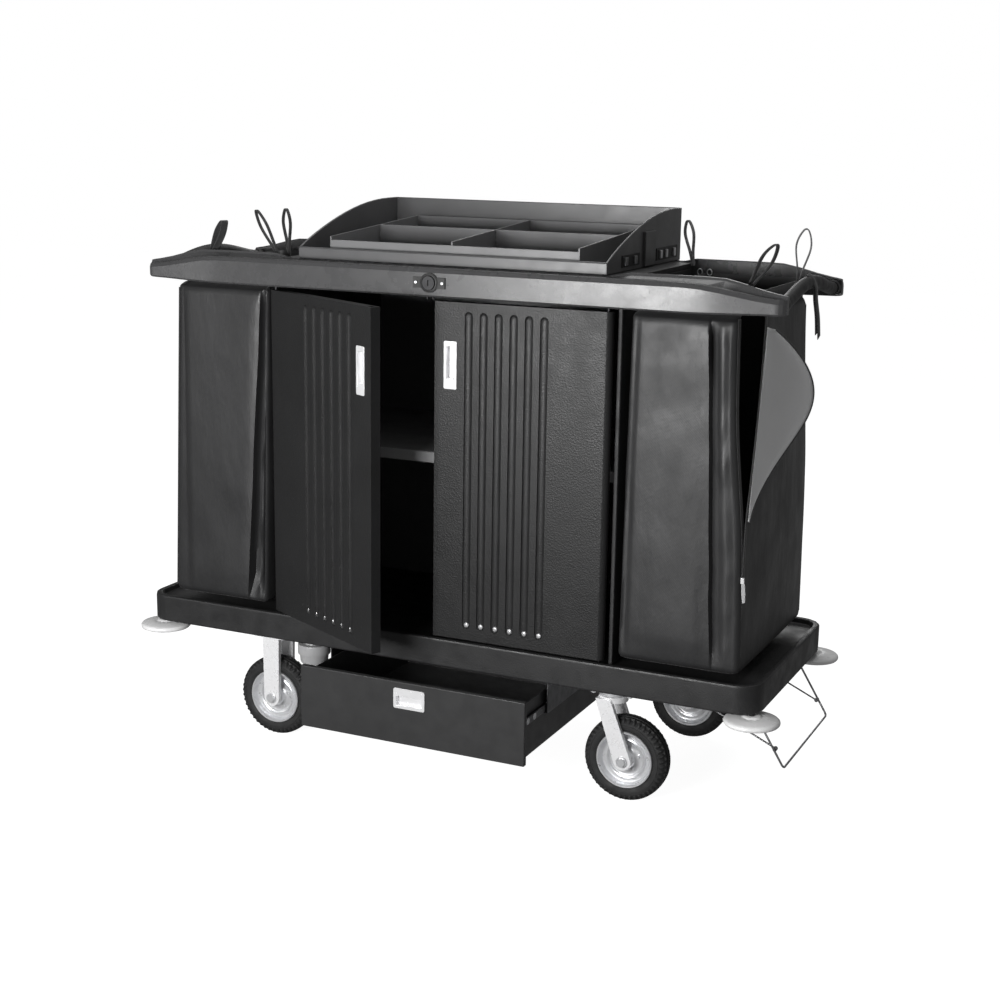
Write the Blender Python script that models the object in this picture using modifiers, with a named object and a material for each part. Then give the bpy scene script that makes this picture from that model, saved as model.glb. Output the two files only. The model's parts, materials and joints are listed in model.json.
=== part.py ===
"""Housekeeping cart: a long deck on four casters, a two-door cabinet between two hanging bags,
top rails with an organizer, a drawer under the deck and a fold-up wire rack at one end.

Metres, +Z up, X along the cart's length, the doors facing -Y. Everything hangs on the empty
"cart_frame", which moves the cart's own centre planes to the middle of its bounding box."""

from math import atan2, cos, hypot, pi, radians, sin

import bmesh
import bpy
from mathutils import Matrix, Vector

GAP = 0.0003

# Deck
DECK_LEFT = -0.8055
DECK_RIGHT = 0.7915
DECK_HALF_WIDTH = 0.288
DECK_BOTTOM = 0.264
DECK_TOP = 0.332
DECK_CORNER = 0.055
DECK_LIP = 0.016
DECK_FLOOR = 0.318
DECK_SKIN = 0.012
DECK_MIDDLE_POCKET = (0.25, 0.27)
DECK_END_POCKETS = ((-0.75, -0.52), (0.59, 0.75))
DECK_END_POCKET_HALF = 0.15
BUMPER_X = 0.7735
BUMPER_Y = 0.257
BUMPER_RADIUS = 0.0625
BUMPER_BOTTOM = 0.236
BUMPER_TOP = 0.2605
BUMPER_PIN_RADIUS = 0.007

# Cabinet and doors
CABINET_HALF = 0.4405
CABINET_WALL = 0.010
CABINET_FRONT = -0.246
CABINET_BACK = 0.265
SHELF_TOP = 0.7625
SHELF_THICKNESS = 0.0265
LEFT_DOOR_AXIS_X = -0.424
RIGHT_DOOR_AXIS_X = 0.415
DOOR_AXIS_Y = -0.2625
DOOR_MEETING_GAP = 0.0015
DOOR_THICKNESS = 0.025
DOOR_BOTTOM = 0.335
DOOR_TOP = 1.118
DOOR_PIN_RADIUS = 0.0035
LEFT_DOOR_OPEN = 27.5
GROOVE_COUNT = 6
GROOVE_FIRST = 0.085
GROOVE_PITCH = 0.0367
GROOVE_WIDTH = 0.0200
GROOVE_DEPTH = 0.0050
GROOVE_FROM_BOTTOM = 0.026
GROOVE_FROM_TOP = 0.020
GROOVE_STEPS = 6
GROOVE_END_TURNS = (18, 42, 66, 90)
PULL_WIDTH = 0.0325
PULL_HEIGHT = 0.109
PULL_FROM_EDGE = 0.040
PULL_FROM_TOP = 0.1425

# Top rails, organizer and tray
RAIL_HALF_LENGTH = 0.799
RAIL_OUTER = 0.280
RAIL_INNER = 0.215
RAIL_BOTTOM = 1.126
RAIL_TOP = 1.190
RAIL_TAPER_FROM = 0.58
RAIL_CREST = 1.200
RAIL_TAPER_OUTER = 0.022
RAIL_TAPER_INNER = 0.010
RAIL_TAPER_BOTTOM = 0.003
RAIL_TAPER_TOP = 0.027
RAIL_STEP = 0.40
RAIL_EDGE = 0.004
CREST_RISE = (0.405, 0.450)
CREST_DROP = 0.029
CREST_WIDTH = 0.008
CREST_TAPER_FROM = 0.64
TIP_ROUNDING = 0.014
RELIEF_HALF_LENGTH = 0.330
RELIEF_HALF_WIDTH = 0.010
RELIEF_DEPTH = 0.003
RAIL_TIP_FROM = 0.776
ORGANIZER_HALF = 0.390
ORGANIZER_FRONT = -0.217
ORGANIZER_BACK = 0.268
ORGANIZER_BASE = RAIL_TOP + GAP
ORGANIZER_LIP = 1.2165
ORGANIZER_TOP = 1.3155
ORGANIZER_WALL = 0.005
TRAY_HALF = 0.3165
TRAY_FRONT = -0.195
TRAY_BACK = 0.245
TRAY_FRONT_TOP = 1.2435
TRAY_BACK_TOP = 1.272
TRAY_WALL = 0.004
TRAY_DIVIDER_Y = 0.042

# Lock on the front rail
LOCK_X = -0.010
LOCK_Z = 1.158
LOCK_PLATE_RADIUS = 0.0225
LOCK_EARS = (0.040, 0.0125)
LOCK_BORE = 0.0165
PLUG_RADIUS = 0.0157
PLUG_FACE = 0.0072
PRONG_XS = (-0.0235, -0.0095)
PRONG_RADIUS = 0.003
LATCH_BOTTOM = 1.134
LATCH_TOP = 1.147
LATCH_Y = DOOR_AXIS_Y

# End handles
HANDLE_X = 0.781
HANDLE_RADIUS = 0.0145
HANDLE_END_Z = 1.149
HANDLE_RISE = 0.030

# Drawer
DRAWER_FRONT = -0.390
DRAWER_PANEL = 0.014
DRAWER_HALF = 0.2915
DRAWER_BOTTOM = 0.098
DRAWER_TOP = 0.250
DRAWER_BOX_HALF = 0.2775
DRAWER_BOX_LENGTH = 0.500
DRAWER_BOX_BOTTOM = 0.105
DRAWER_BOX_TOP = 0.236
DRAWER_WALL = 0.003
DRAWER_SLIDE_Z = 0.195
CUP_WIDTH = 0.081
CUP_HEIGHT = 0.049
CUP_Z = 0.2105

# Casters
WHEEL_RADIUS = 0.100
WHEEL_Y = 0.226
RIGID_X = -0.455
SWIVEL_X = 0.440
SWIVEL_TRAIL = 0.038
RIM_RADIUS = 0.067
AXLE_RADIUS = 0.008
BORE_RADIUS = 0.0088
FORK_INNER = 0.0268
FORK_OUTER = 0.038
FORK_FOOT = 0.021
FORK_SHEET = 0.003
RIGID_CROWN = 0.250
SWIVEL_CROWN = 0.232
CASTER_PLATE = 0.005
WHEEL_STEPS = 24

# Drawer stop knob under the deck
KNOB_X = -0.338
KNOB_Y = -0.250
KNOB_RADIUS = 0.040
KNOB_BOTTOM = 0.208

# Fold-up wire rack
RACK_HINGE_X = 0.752
RACK_HINGE_Z = 0.255
RACK_DROP = radians(58.5)
RACK_ARM = 0.154
RACK_HALF = 0.190
RACK_WIRE = 0.0025
RACK_COLLAR = 0.1088
STAY_HALF = 0.178
STAY_WIRE = 0.002
STAY_ANCHOR_X = 0.605
RACK_EAR = (0.1845, 0.1870)
RACK_FLANGE_INNER = 0.160

# Bags
BAG_WALL = 0.004
BAG_BOTTOM = 0.343
BAG_TOP = 1.110
BAG_HALF_WIDTH = 0.258
BAG_CORNER = 0.020
BAG_CORNER_STEPS = 3
LEFT_BAG_TOP = (-0.713, -0.466)
LEFT_BAG_BOTTOM = (-0.743, -0.470)
RIGHT_BAG_TOP = (0.466, 0.738)
RIGHT_BAG_BOTTOM = (0.456, 0.738)
FLAP_FOOT = (-0.238, 0.680)
FLAP_HEAD = (-0.130, 1.096)
FLAP_WIDTH = 0.236
FLAP_LIFT = 0.042
FLAP_THICKNESS = 0.003
SLIT_FOOT = 0.560

BUMPER_REACH_Y = BUMPER_Y + BUMPER_RADIUS
LEFT_DOOR_WIDTH = -LEFT_DOOR_AXIS_X - DOOR_MEETING_GAP
RIGHT_DOOR_WIDTH = RIGHT_DOOR_AXIS_X - DOOR_MEETING_GAP
DOOR_REACH_Y = (
    -DOOR_AXIS_Y
    + LEFT_DOOR_WIDTH * sin(radians(LEFT_DOOR_OPEN))
    + DOOR_THICKNESS / 2 * cos(radians(LEFT_DOOR_OPEN))
)
CART_SHIFT_Y = (DOOR_REACH_Y - BUMPER_REACH_Y) / 2

# name: (colour, roughness, metallic)
MATERIALS = {
    "deck_plastic": ((0.018, 0.018, 0.019), 0.50, 0.0),
    "cabinet_plastic": ((0.012, 0.012, 0.013), 0.60, 0.0),
    "door_plastic": ((0.045, 0.045, 0.047), 0.55, 0.0),
    "rail_plastic": ((0.19, 0.19, 0.195), 0.40, 0.0),
    "organizer_plastic": ((0.11, 0.11, 0.115), 0.45, 0.0),
    "tray_plastic": ((0.10, 0.10, 0.105), 0.45, 0.0),
    "handle_rubber": ((0.020, 0.020, 0.021), 0.65, 0.0),
    "lock_black": ((0.010, 0.010, 0.010), 0.30, 0.0),
    "chrome": ((0.80, 0.80, 0.81), 0.15, 1.0),
    "zinc": ((0.66, 0.67, 0.69), 0.28, 1.0),
    "drawer_paint": ((0.050, 0.050, 0.052), 0.45, 0.2),
    "slide_steel": ((0.10, 0.10, 0.105), 0.40, 0.8),
    "tyre_rubber": ((0.022, 0.022, 0.023), 0.75, 0.0),
    "bumper_plastic": ((0.56, 0.56, 0.56), 0.45, 0.0),
    "knob_plastic": ((0.28, 0.28, 0.285), 0.50, 0.0),
    "wire_steel": ((0.09, 0.09, 0.095), 0.35, 0.9),
    "bag_polyester": ((0.035, 0.035, 0.037), 0.70, 0.0),
}


def clear_scene():
    for obj in list(bpy.data.objects):
        bpy.data.objects.remove(obj)


def new_collection(name):
    collection = bpy.data.collections.new(name)
    bpy.context.scene.collection.children.link(collection)
    return collection


def material(name):
    found = bpy.data.materials.get(name)
    if found:
        return found
    colour, roughness, metallic = MATERIALS[name]
    made = bpy.data.materials.new(name)
    made.use_nodes = True
    shader = made.node_tree.nodes["Principled BSDF"]
    shader.inputs["Base Color"].default_value = (*colour, 1.0)
    shader.inputs["Roughness"].default_value = roughness
    shader.inputs["Metallic"].default_value = metallic
    made.diffuse_color = (*colour, 1.0)
    return made


def empty(name, location=(0, 0, 0), parent=None, turn_z=0.0):
    made = bpy.data.objects.new(name, None)
    made.empty_display_size = 0.05
    PARTS.objects.link(made)
    made.location = location
    made.rotation_euler = (0, 0, turn_z)
    made.parent = parent
    return made


def keep(mesh_or_bm, name, finish, parent, location=(0, 0, 0), rotation=(0, 0, 0)):
    """A finished piece: its mesh, material, parent and place."""
    mesh = mesh_or_bm
    if isinstance(mesh_or_bm, bmesh.types.BMesh):
        mesh = to_mesh(mesh_or_bm, name)
    mesh.materials.append(material(finish))
    made = bpy.data.objects.new(name, mesh)
    PARTS.objects.link(made)
    made.parent = parent
    made.location = location
    made.rotation_euler = rotation
    return made


def to_mesh(bm, name):
    bmesh.ops.recalc_face_normals(bm, faces=bm.faces)
    mesh = bpy.data.meshes.new(name)
    bm.to_mesh(mesh)
    bm.free()
    return mesh


def cutter(bm, name, parent=None, location=(0, 0, 0)):
    made = bpy.data.objects.new(name, to_mesh(bm, name))
    CUTTERS.objects.link(made)
    made.parent = parent
    made.location = location
    made.hide_render = True
    made.display_type = "WIRE"
    return made


def boolean(obj, other, operation="DIFFERENCE"):
    cut = obj.modifiers.new(other.name, "BOOLEAN")
    cut.operation = operation
    cut.solver = "EXACT"
    cut.object = other


def round_edges(obj, width, segments=2, angle=40.0):
    bevel = obj.modifiers.new("round_edges", "BEVEL")
    bevel.width = width
    bevel.segments = segments
    bevel.limit_method = "ANGLE"
    bevel.angle_limit = radians(angle)


def smooth(obj, angle=35.0):
    obj.data.shade_smooth()
    obj.data.set_sharp_from_angle(angle=radians(angle))


def block(low, high):
    """A box between two corners."""
    low, high = Vector(low), Vector(high)
    bm = bmesh.new()
    bmesh.ops.create_cube(bm, size=1.0)
    bmesh.ops.scale(bm, vec=high - low, verts=bm.verts)
    bmesh.ops.translate(bm, vec=(low + high) / 2, verts=bm.verts)
    return bm


def rod(radius, low, high, axis="Z", centre=(0, 0, 0), segments=16):
    """A cylinder from low to high along an axis through centre."""
    bm = bmesh.new()
    bmesh.ops.create_cone(
        bm, cap_ends=True, segments=segments, radius1=radius, radius2=radius, depth=high - low
    )
    bmesh.ops.translate(bm, vec=(0, 0, (low + high) / 2), verts=bm.verts)
    turns = {"X": Matrix.Rotation(pi / 2, 3, "Y"), "Y": Matrix.Rotation(-pi / 2, 3, "X")}
    if axis in turns:
        bmesh.ops.rotate(bm, matrix=turns[axis], verts=bm.verts)
    bmesh.ops.translate(bm, vec=centre, verts=bm.verts)
    return bm


def prism(outline, low, high, axis):
    """A flat outline pushed from low to high along an axis. Its points are the other two coordinates."""
    places = {
        "X": lambda a, b: (low, a, b),
        "Y": lambda a, b: (a, low, b),
        "Z": lambda a, b: (a, b, low),
    }
    way = {"X": (1, 0, 0), "Y": (0, 1, 0), "Z": (0, 0, 1)}[axis]
    bm = bmesh.new()
    face = bm.faces.new([bm.verts.new(places[axis](a, b)) for a, b in outline])
    pushed = bmesh.ops.extrude_face_region(bm, geom=[face])["geom"]
    moved = [item for item in pushed if isinstance(item, bmesh.types.BMVert)]
    bmesh.ops.translate(bm, vec=Vector(way) * (high - low), verts=moved)
    return bm


def joined(bm, *others):
    """Several separate shapes in one BMesh, for a cutter."""
    for other in others:
        mesh = bpy.data.meshes.new("joined")
        other.to_mesh(mesh)
        other.free()
        bm.from_mesh(mesh)
        bpy.data.meshes.remove(mesh)
    return bm


def arc(centre, radius, start, end, steps):
    """Points on a circle from one angle to another, both included, in degrees."""
    angles = [radians(start + (end - start) * i / steps) for i in range(steps + 1)]
    return [(centre[0] + radius * cos(a), centre[1] + radius * sin(a)) for a in angles]


def rounded_rectangle(low, high, radius, steps):
    corners = (
        ((high[0] - radius, low[1] + radius), -90),
        ((high[0] - radius, high[1] - radius), 0),
        ((low[0] + radius, high[1] - radius), 90),
        ((low[0] + radius, low[1] + radius), 180),
    )
    points = []
    for centre, start in corners:
        points += arc(centre, radius, start, start + 90, steps)
    return points


def turned(name, profile, finish, parent, location=(0, 0, 0), rotation=(0, 0, 0), steps=WHEEL_STEPS):
    """A profile of (radius, height) points, down its outer side, turned about Z."""
    mesh = bpy.data.meshes.new(name)
    count = len(profile)
    closed = profile[0][0] > 0
    edges = [(i, i + 1) for i in range(count - 1)] + ([(count - 1, 0)] if closed else [])
    mesh.from_pydata([(r, 0, z) for r, z in profile], edges, [])
    made = keep(mesh, name, finish, parent, location, rotation)
    screw = made.modifiers.new("turn", "SCREW")
    screw.axis = "Z"
    screw.steps = screw.render_steps = steps
    screw.use_merge_vertices = True
    screw.merge_threshold = 0.00005
    screw.use_smooth_shade = True
    return made


def wire(name, points, radius, finish, parent, location=(0, 0, 0), resolution=2):
    """A tube along straight stretches between points, as a mesh with its caps welded."""
    curve = bpy.data.curves.new(name, "CURVE")
    curve.dimensions = "3D"
    curve.bevel_depth = radius
    curve.bevel_resolution = resolution
    curve.use_fill_caps = True
    spline = curve.splines.new("POLY")
    spline.points.add(len(points) - 1)
    for point, place in zip(spline.points, points):
        point.co = (*place, 1.0)
    guide = bpy.data.objects.new(name + "_curve", curve)
    PARTS.objects.link(guide)
    bpy.context.view_layer.update()
    graph = bpy.context.evaluated_depsgraph_get()
    mesh = bpy.data.meshes.new_from_object(guide.evaluated_get(graph))
    bpy.data.objects.remove(guide)
    bm = bmesh.new()
    bm.from_mesh(mesh)
    bpy.data.meshes.remove(mesh)
    bmesh.ops.remove_doubles(bm, verts=bm.verts, dist=0.00002)
    made = keep(bm, name, finish, parent, location)
    smooth(made)
    return made


def loft(rings, name, finish, parent, capped=True):
    """Closed rings of equally many points joined in order, with flat end caps."""
    bm = bmesh.new()
    made = [[bm.verts.new(point) for point in ring] for ring in rings]
    for near, far in zip(made, made[1:]):
        for i in range(len(near)):
            j = (i + 1) % len(near)
            bm.faces.new((near[i], near[j], far[j], far[i]))
    bm.faces.new(made[0])
    if capped:
        bm.faces.new(made[-1])
    bmesh.ops.triangulate(bm, faces=bm.faces)
    return keep(bm, name, finish, parent)


def blend(low, high, value):
    """0 below low, 1 above high, and smooth between them."""
    t = min(max((value - low) / (high - low), 0.0), 1.0)
    return t * t * (3 - 2 * t)


# ---------------------------------------------------------------- deck

def base_deck():
    outline = rounded_rectangle(
        (DECK_LEFT, -DECK_HALF_WIDTH), (DECK_RIGHT, DECK_HALF_WIDTH), DECK_CORNER, 4
    )
    deck = keep(prism(outline, DECK_BOTTOM, DECK_TOP, "Z"), "base_deck", "deck_plastic", CART)
    recess = rounded_rectangle(
        (DECK_LEFT + DECK_LIP, -DECK_HALF_WIDTH + DECK_LIP),
        (DECK_RIGHT - DECK_LIP, DECK_HALF_WIDTH - DECK_LIP),
        DECK_CORNER - DECK_LIP,
        3,
    )
    boolean(deck, cutter(prism(recess, DECK_FLOOR, DECK_TOP + 0.05, "Z"), "deck_recess", CART))
    below, above = DECK_BOTTOM - 0.01, DECK_FLOOR - DECK_SKIN
    half_x, half_y = DECK_MIDDLE_POCKET
    pockets = [block((-half_x, -half_y, below), (half_x, half_y, above))]
    for low, high in DECK_END_POCKETS:
        pockets.append(block((low, -DECK_END_POCKET_HALF, below), (high, DECK_END_POCKET_HALF, above)))
    boolean(deck, cutter(joined(*pockets), "deck_pockets", CART))
    round_edges(deck, 0.006, 2, 60)
    pins = [
        rod(BUMPER_PIN_RADIUS, BUMPER_BOTTOM - 0.002, DECK_BOTTOM + 0.01, centre=(x, y, 0), segments=12)
        for x in (-BUMPER_X, BUMPER_X)
        for y in (-BUMPER_Y, BUMPER_Y)
    ]
    boolean(deck, cutter(joined(*pins), "bumper_pins", CART), "UNION")
    smooth(deck)
    return deck


def bumper(name, x, y):
    bottom, top, rim = BUMPER_BOTTOM, BUMPER_TOP, BUMPER_RADIUS
    bore = BUMPER_PIN_RADIUS + 0.001
    profile = [
        (bore, top), (0.030, top), (rim - 0.012, top - 0.005), (rim - 0.002, top - 0.009),
        (rim, top - 0.013), (rim, bottom + 0.006), (rim - 0.006, bottom + 0.001),
        (0.030, bottom), (bore, bottom),
    ]
    return turned(name, profile, "bumper_plastic", CART, (x, y, 0))


# ---------------------------------------------------------------- cabinet

def cabinet_side(name, side):
    """A wall that stands on the deck and steps in between the two rails."""
    low, shoulder = DECK_FLOOR + GAP, RAIL_BOTTOM - GAP
    top, neck = RAIL_TOP - 0.0125, RAIL_INNER - GAP
    outline = [
        (CABINET_FRONT, low), (CABINET_BACK - 0.001, low), (CABINET_BACK - 0.001, shoulder),
        (neck, shoulder), (neck, top), (-neck, top), (-neck, shoulder), (CABINET_FRONT, shoulder),
    ]
    near, far = sorted((side * (CABINET_HALF - CABINET_WALL), side * CABINET_HALF))
    return keep(prism(outline, near, far, "X"), name, "cabinet_plastic", CART)


def cabinet():
    cabinet_side("cabinet_side_left", -1)
    cabinet_side("cabinet_side_right", 1)
    inside = CABINET_HALF - CABINET_WALL - GAP
    back = block(
        (-inside, CABINET_BACK - 0.010, DECK_FLOOR + GAP), (inside, CABINET_BACK, RAIL_BOTTOM - GAP)
    )
    keep(back, "cabinet_back", "cabinet_plastic", CART)
    shelf = block(
        (-inside, CABINET_FRONT + 0.012, SHELF_TOP - SHELF_THICKNESS),
        (inside, CABINET_BACK - 0.010 - GAP, SHELF_TOP),
    )
    round_edges(keep(shelf, "cabinet_shelf", "cabinet_plastic", CART), 0.003, 2)
    edge = RAIL_INNER - GAP
    top = block(
        (-CABINET_HALF, -edge, RAIL_TOP - 0.0122), (CABINET_HALF, edge, ORGANIZER_BASE - 0.0006)
    )
    keep(top, "top_deck", "cabinet_plastic", CART)


# ---------------------------------------------------------------- doors

def door_pin(name, x):
    pin = rod(
        DOOR_PIN_RADIUS, DECK_FLOOR + GAP, RAIL_BOTTOM - GAP, centre=(x, DOOR_AXIS_Y, 0), segments=12
    )
    smooth(keep(pin, name, "zinc", CART))


def groove_shape(x, low, high):
    """One upright groove: a shallow round section that runs out in a curve at both ends."""
    half, face = GROOVE_WIDTH / 2, -DOOR_THICKNESS / 2
    levels = [(low + half - half * cos(radians(t)), sin(radians(t))) for t in GROOVE_END_TURNS]
    levels += [(low + high - z, share) for z, share in reversed(levels)]
    bm = bmesh.new()
    rings = []
    for z, share in levels:
        turns = [pi * i / GROOVE_STEPS for i in range(GROOVE_STEPS + 1)]
        ring = [
            (x + half * share * cos(t), face - 0.0002 + GROOVE_DEPTH * share * sin(t), z) for t in turns
        ]
        ring += [(x - half * share, face - 0.01, z), (x + half * share, face - 0.01, z)]
        rings.append([bm.verts.new(point) for point in ring])
    for near, far in zip(rings, rings[1:]):
        for i in range(len(near)):
            j = (i + 1) % len(near)
            bm.faces.new((near[i], near[j], far[j], far[i]))
    bm.faces.new(rings[0])
    bm.faces.new(rings[-1])
    return bm


def groove_cutters(axis, side, width):
    """Six upright grooves, measured from the free edge."""
    low, high = DOOR_BOTTOM + GROOVE_FROM_BOTTOM, DOOR_TOP - GROOVE_FROM_TOP
    xs = [side * (width - GROOVE_FIRST - i * GROOVE_PITCH) for i in range(GROOVE_COUNT)]
    return cutter(joined(*[groove_shape(x, low, high) for x in xs]), axis.name + "_grooves", axis)


def door(name, axis, side, width):
    """A slab that reaches from its pin, along side * X, with a round edge about the pin."""
    half = DOOR_THICKNESS / 2
    turn = arc((0, 0), half, 90, 270, 6)
    outline = [(side * x, y) for x, y in turn + [(width, -half), (width, half)]]
    slab = keep(prism(outline, DOOR_BOTTOM, DOOR_TOP, "Z"), name, "door_plastic", axis)
    bore = rod(DOOR_PIN_RADIUS + 0.0007, DOOR_BOTTOM - 0.02, DOOR_TOP + 0.02, segments=12)
    boolean(slab, groove_cutters(axis, side, width))
    boolean(slab, cutter(bore, name + "_bore", axis))
    x, z = side * (width - PULL_FROM_EDGE), DOOR_TOP - PULL_FROM_TOP
    wide, high = PULL_WIDTH / 2 - 0.003, PULL_HEIGHT / 2 - 0.004
    pocket = block((x - wide, -half - 0.01, z - high), (x + wide, -half + 0.014, z + high))
    boolean(slab, cutter(pocket, name + "_pocket", axis))
    smooth(slab)
    return slab


def latch_slot(slab, axis):
    """A slot in the left door's top for the lock's two prongs."""
    low = PRONG_XS[0] - 0.0048 - LEFT_DOOR_AXIS_X
    high = PRONG_XS[1] + 0.0045 - LEFT_DOOR_AXIS_X
    slot = block((low, -0.005, DOOR_TOP - 0.016), (high, 0.005, DOOR_TOP + 0.01))
    boolean(slab, cutter(slot, "latch_slot", axis))


def door_pull(name, axis, side, width):
    """A flush pull: a thin flange on the door's face round a finger recess."""
    x, z = side * (width - PULL_FROM_EDGE), DOOR_TOP - PULL_FROM_TOP
    face = -DOOR_THICKNESS / 2
    outline = rounded_rectangle(
        (x - PULL_WIDTH / 2, z - PULL_HEIGHT / 2), (x + PULL_WIDTH / 2, z + PULL_HEIGHT / 2), 0.003, 2
    )
    pull = keep(prism(outline, face - 0.0018, face - GAP, "Y"), name, "chrome", axis)
    wide, high = PULL_WIDTH / 2 - 0.0035, PULL_HEIGHT / 2 - 0.0045
    cup = block((x - wide, face - 0.0010, z - high), (x + wide, face + 0.0135, z + high))
    boolean(pull, cutter(cup, name + "_cup", axis), "UNION")
    wide, low, high = 0.0095, z - 0.030, z + 0.042
    recess = block((x - wide, face - 0.01, low), (x + wide, face + 0.0115, high))
    boolean(pull, cutter(recess, name + "_recess", axis))


def doors():
    door_pin("door_pin_left", LEFT_DOOR_AXIS_X)
    door_pin("door_pin_right", RIGHT_DOOR_AXIS_X)
    left = empty(
        "door_left_axis", (LEFT_DOOR_AXIS_X, DOOR_AXIS_Y, 0), CART, turn_z=-radians(LEFT_DOOR_OPEN)
    )
    right = empty("door_right_axis", (RIGHT_DOOR_AXIS_X, DOOR_AXIS_Y, 0), CART)
    latch_slot(door("door_left", left, 1, LEFT_DOOR_WIDTH), left)
    door("door_right", right, -1, RIGHT_DOOR_WIDTH)
    door_pull("door_pull_left", left, 1, LEFT_DOOR_WIDTH)
    door_pull("door_pull_right", right, -1, RIGHT_DOOR_WIDTH)


# ---------------------------------------------------------------- rails and handles

def rail_ring(x, side):
    """The rail's section at x: a broad beam whose top slopes up to a bead along its inner edge."""
    taper = blend(RAIL_TAPER_FROM, RAIL_HALF_LENGTH, abs(x))
    outer = RAIL_OUTER - RAIL_TAPER_OUTER * taper
    inner = RAIL_INNER + RAIL_TAPER_INNER * taper
    low = RAIL_BOTTOM + RAIL_TAPER_BOTTOM * taper
    top = RAIL_TOP - RAIL_TAPER_TOP * taper
    crest = RAIL_TOP + (RAIL_CREST - RAIL_TOP) * blend(*CREST_RISE, abs(x))
    crest -= CREST_DROP * blend(CREST_TAPER_FROM, RAIL_HALF_LENGTH, abs(x))
    past = max(abs(x) - RAIL_TIP_FROM, 0.0) / (RAIL_HALF_LENGTH - RAIL_TIP_FROM)
    outer -= TIP_ROUNDING * past**2.5
    step = outer - RAIL_STEP * (outer - inner)
    points = [
        (outer - RAIL_EDGE, low), (outer, low + RAIL_EDGE), (outer, top - 0.010),
        (outer - 0.003, top - 0.003), (outer - 0.006, top), (step, top), (step - 0.003, top - 0.005),
        (inner + CREST_WIDTH + 0.002, crest - 0.005), (inner + CREST_WIDTH, crest),
        (inner + 0.002, crest), (inner, crest - 0.002), (inner, low),
    ]
    shrink = 1.0 - 0.10 * past**2.5
    middle = (low + top) / 2
    return [(x, side * out, middle + (z - middle) * shrink) for out, z in points]


def rail(name, side):
    half = [0.10, CREST_RISE[0], sum(CREST_RISE) / 2, CREST_RISE[1], RAIL_TAPER_FROM]
    half += [0.62, 0.66, 0.70, 0.74, RAIL_TIP_FROM]
    half += [RAIL_TIP_FROM + (RAIL_HALF_LENGTH - RAIL_TIP_FROM) * t for t in (0.42, 0.74, 1.0)]
    stations = [-x for x in reversed(half)] + half
    made = loft([rail_ring(x, side) for x in stations], name, "rail_plastic", CART)
    smooth(made, 50)
    return made


def back_relief(made):
    """A shallow groove along the back rail's underside, where the cabinet's back is screwed up to it."""
    middle = (RAIL_INNER + RAIL_OUTER) / 2
    groove = block(
        (-RELIEF_HALF_LENGTH, middle - RELIEF_HALF_WIDTH, RAIL_BOTTOM - 0.01),
        (RELIEF_HALF_LENGTH, middle + RELIEF_HALF_WIDTH, RAIL_BOTTOM + RELIEF_DEPTH),
    )
    boolean(made, cutter(groove, "rail_relief", CART))


def latch_pocket(made):
    """Room inside the front rail for the lock's shaft and bolt, open below."""
    room = block((-0.036, LATCH_Y - 0.008, RAIL_BOTTOM - 0.02), (0.006, LATCH_Y + 0.008, LOCK_Z + 0.011))
    boolean(made, cutter(room, "latch_room", CART))
    bore = rod(0.0065, -0.31, LATCH_Y, "Y", (LOCK_X, 0, LOCK_Z), 12)
    boolean(made, cutter(bore, "lock_bore", CART))


def lock():
    plate = keep(
        rod(LOCK_PLATE_RADIUS, -RAIL_OUTER - 0.0040, -RAIL_OUTER - GAP, "Y", (LOCK_X, 0, LOCK_Z), 24),
        "lock_plate", "lock_black", CART,
    )
    ears = block(
        (LOCK_X - LOCK_EARS[0], -RAIL_OUTER - 0.0036, LOCK_Z - LOCK_EARS[1]),
        (LOCK_X + LOCK_EARS[0], -RAIL_OUTER - GAP, LOCK_Z + LOCK_EARS[1]),
    )
    boolean(plate, cutter(ears, "lock_ears", CART), "UNION")
    hole = rod(LOCK_BORE, -RAIL_OUTER - 0.02, -RAIL_OUTER + 0.02, "Y", (LOCK_X, 0, LOCK_Z), 24)
    boolean(plate, cutter(hole, "lock_plate_hole", CART))

    face = -RAIL_OUTER
    plug = keep(
        rod(PLUG_RADIUS, -PLUG_FACE, -GAP, "Y", segments=24), "lock_cylinder", "chrome", CART,
        (LOCK_X, face, LOCK_Z),
    )
    shaft = rod(0.005, -0.004, -face + LATCH_Y - 0.0015, "Y", segments=12)
    boolean(plug, cutter(shaft, "lock_shaft", CART, (LOCK_X, face, LOCK_Z)), "UNION")
    slot = block((-0.0013, -0.02, -0.006), (0.0013, -0.0045, 0.006))
    boolean(plug, cutter(slot, "key_slot", CART, (LOCK_X, face, LOCK_Z)))
    smooth(plug)


def latch_bolt():
    """The bolt behind the lock: a bar with two prongs that drop into the left door's top."""
    low, high = LATCH_BOTTOM, LATCH_TOP
    bar = block(
        (PRONG_XS[0] - 0.0042, LATCH_Y - 0.0035, low), (PRONG_XS[1] + 0.0042, LATCH_Y + 0.0035, high)
    )
    bolt = keep(bar, "latch_bolt", "zinc", CART)
    prongs = [
        rod(PRONG_RADIUS, DOOR_TOP + 0.0015, low + 0.002, centre=(x, LATCH_Y, 0), segments=12)
        for x in PRONG_XS
    ]
    boolean(bolt, cutter(joined(*prongs), "prongs", CART), "UNION")


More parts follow.
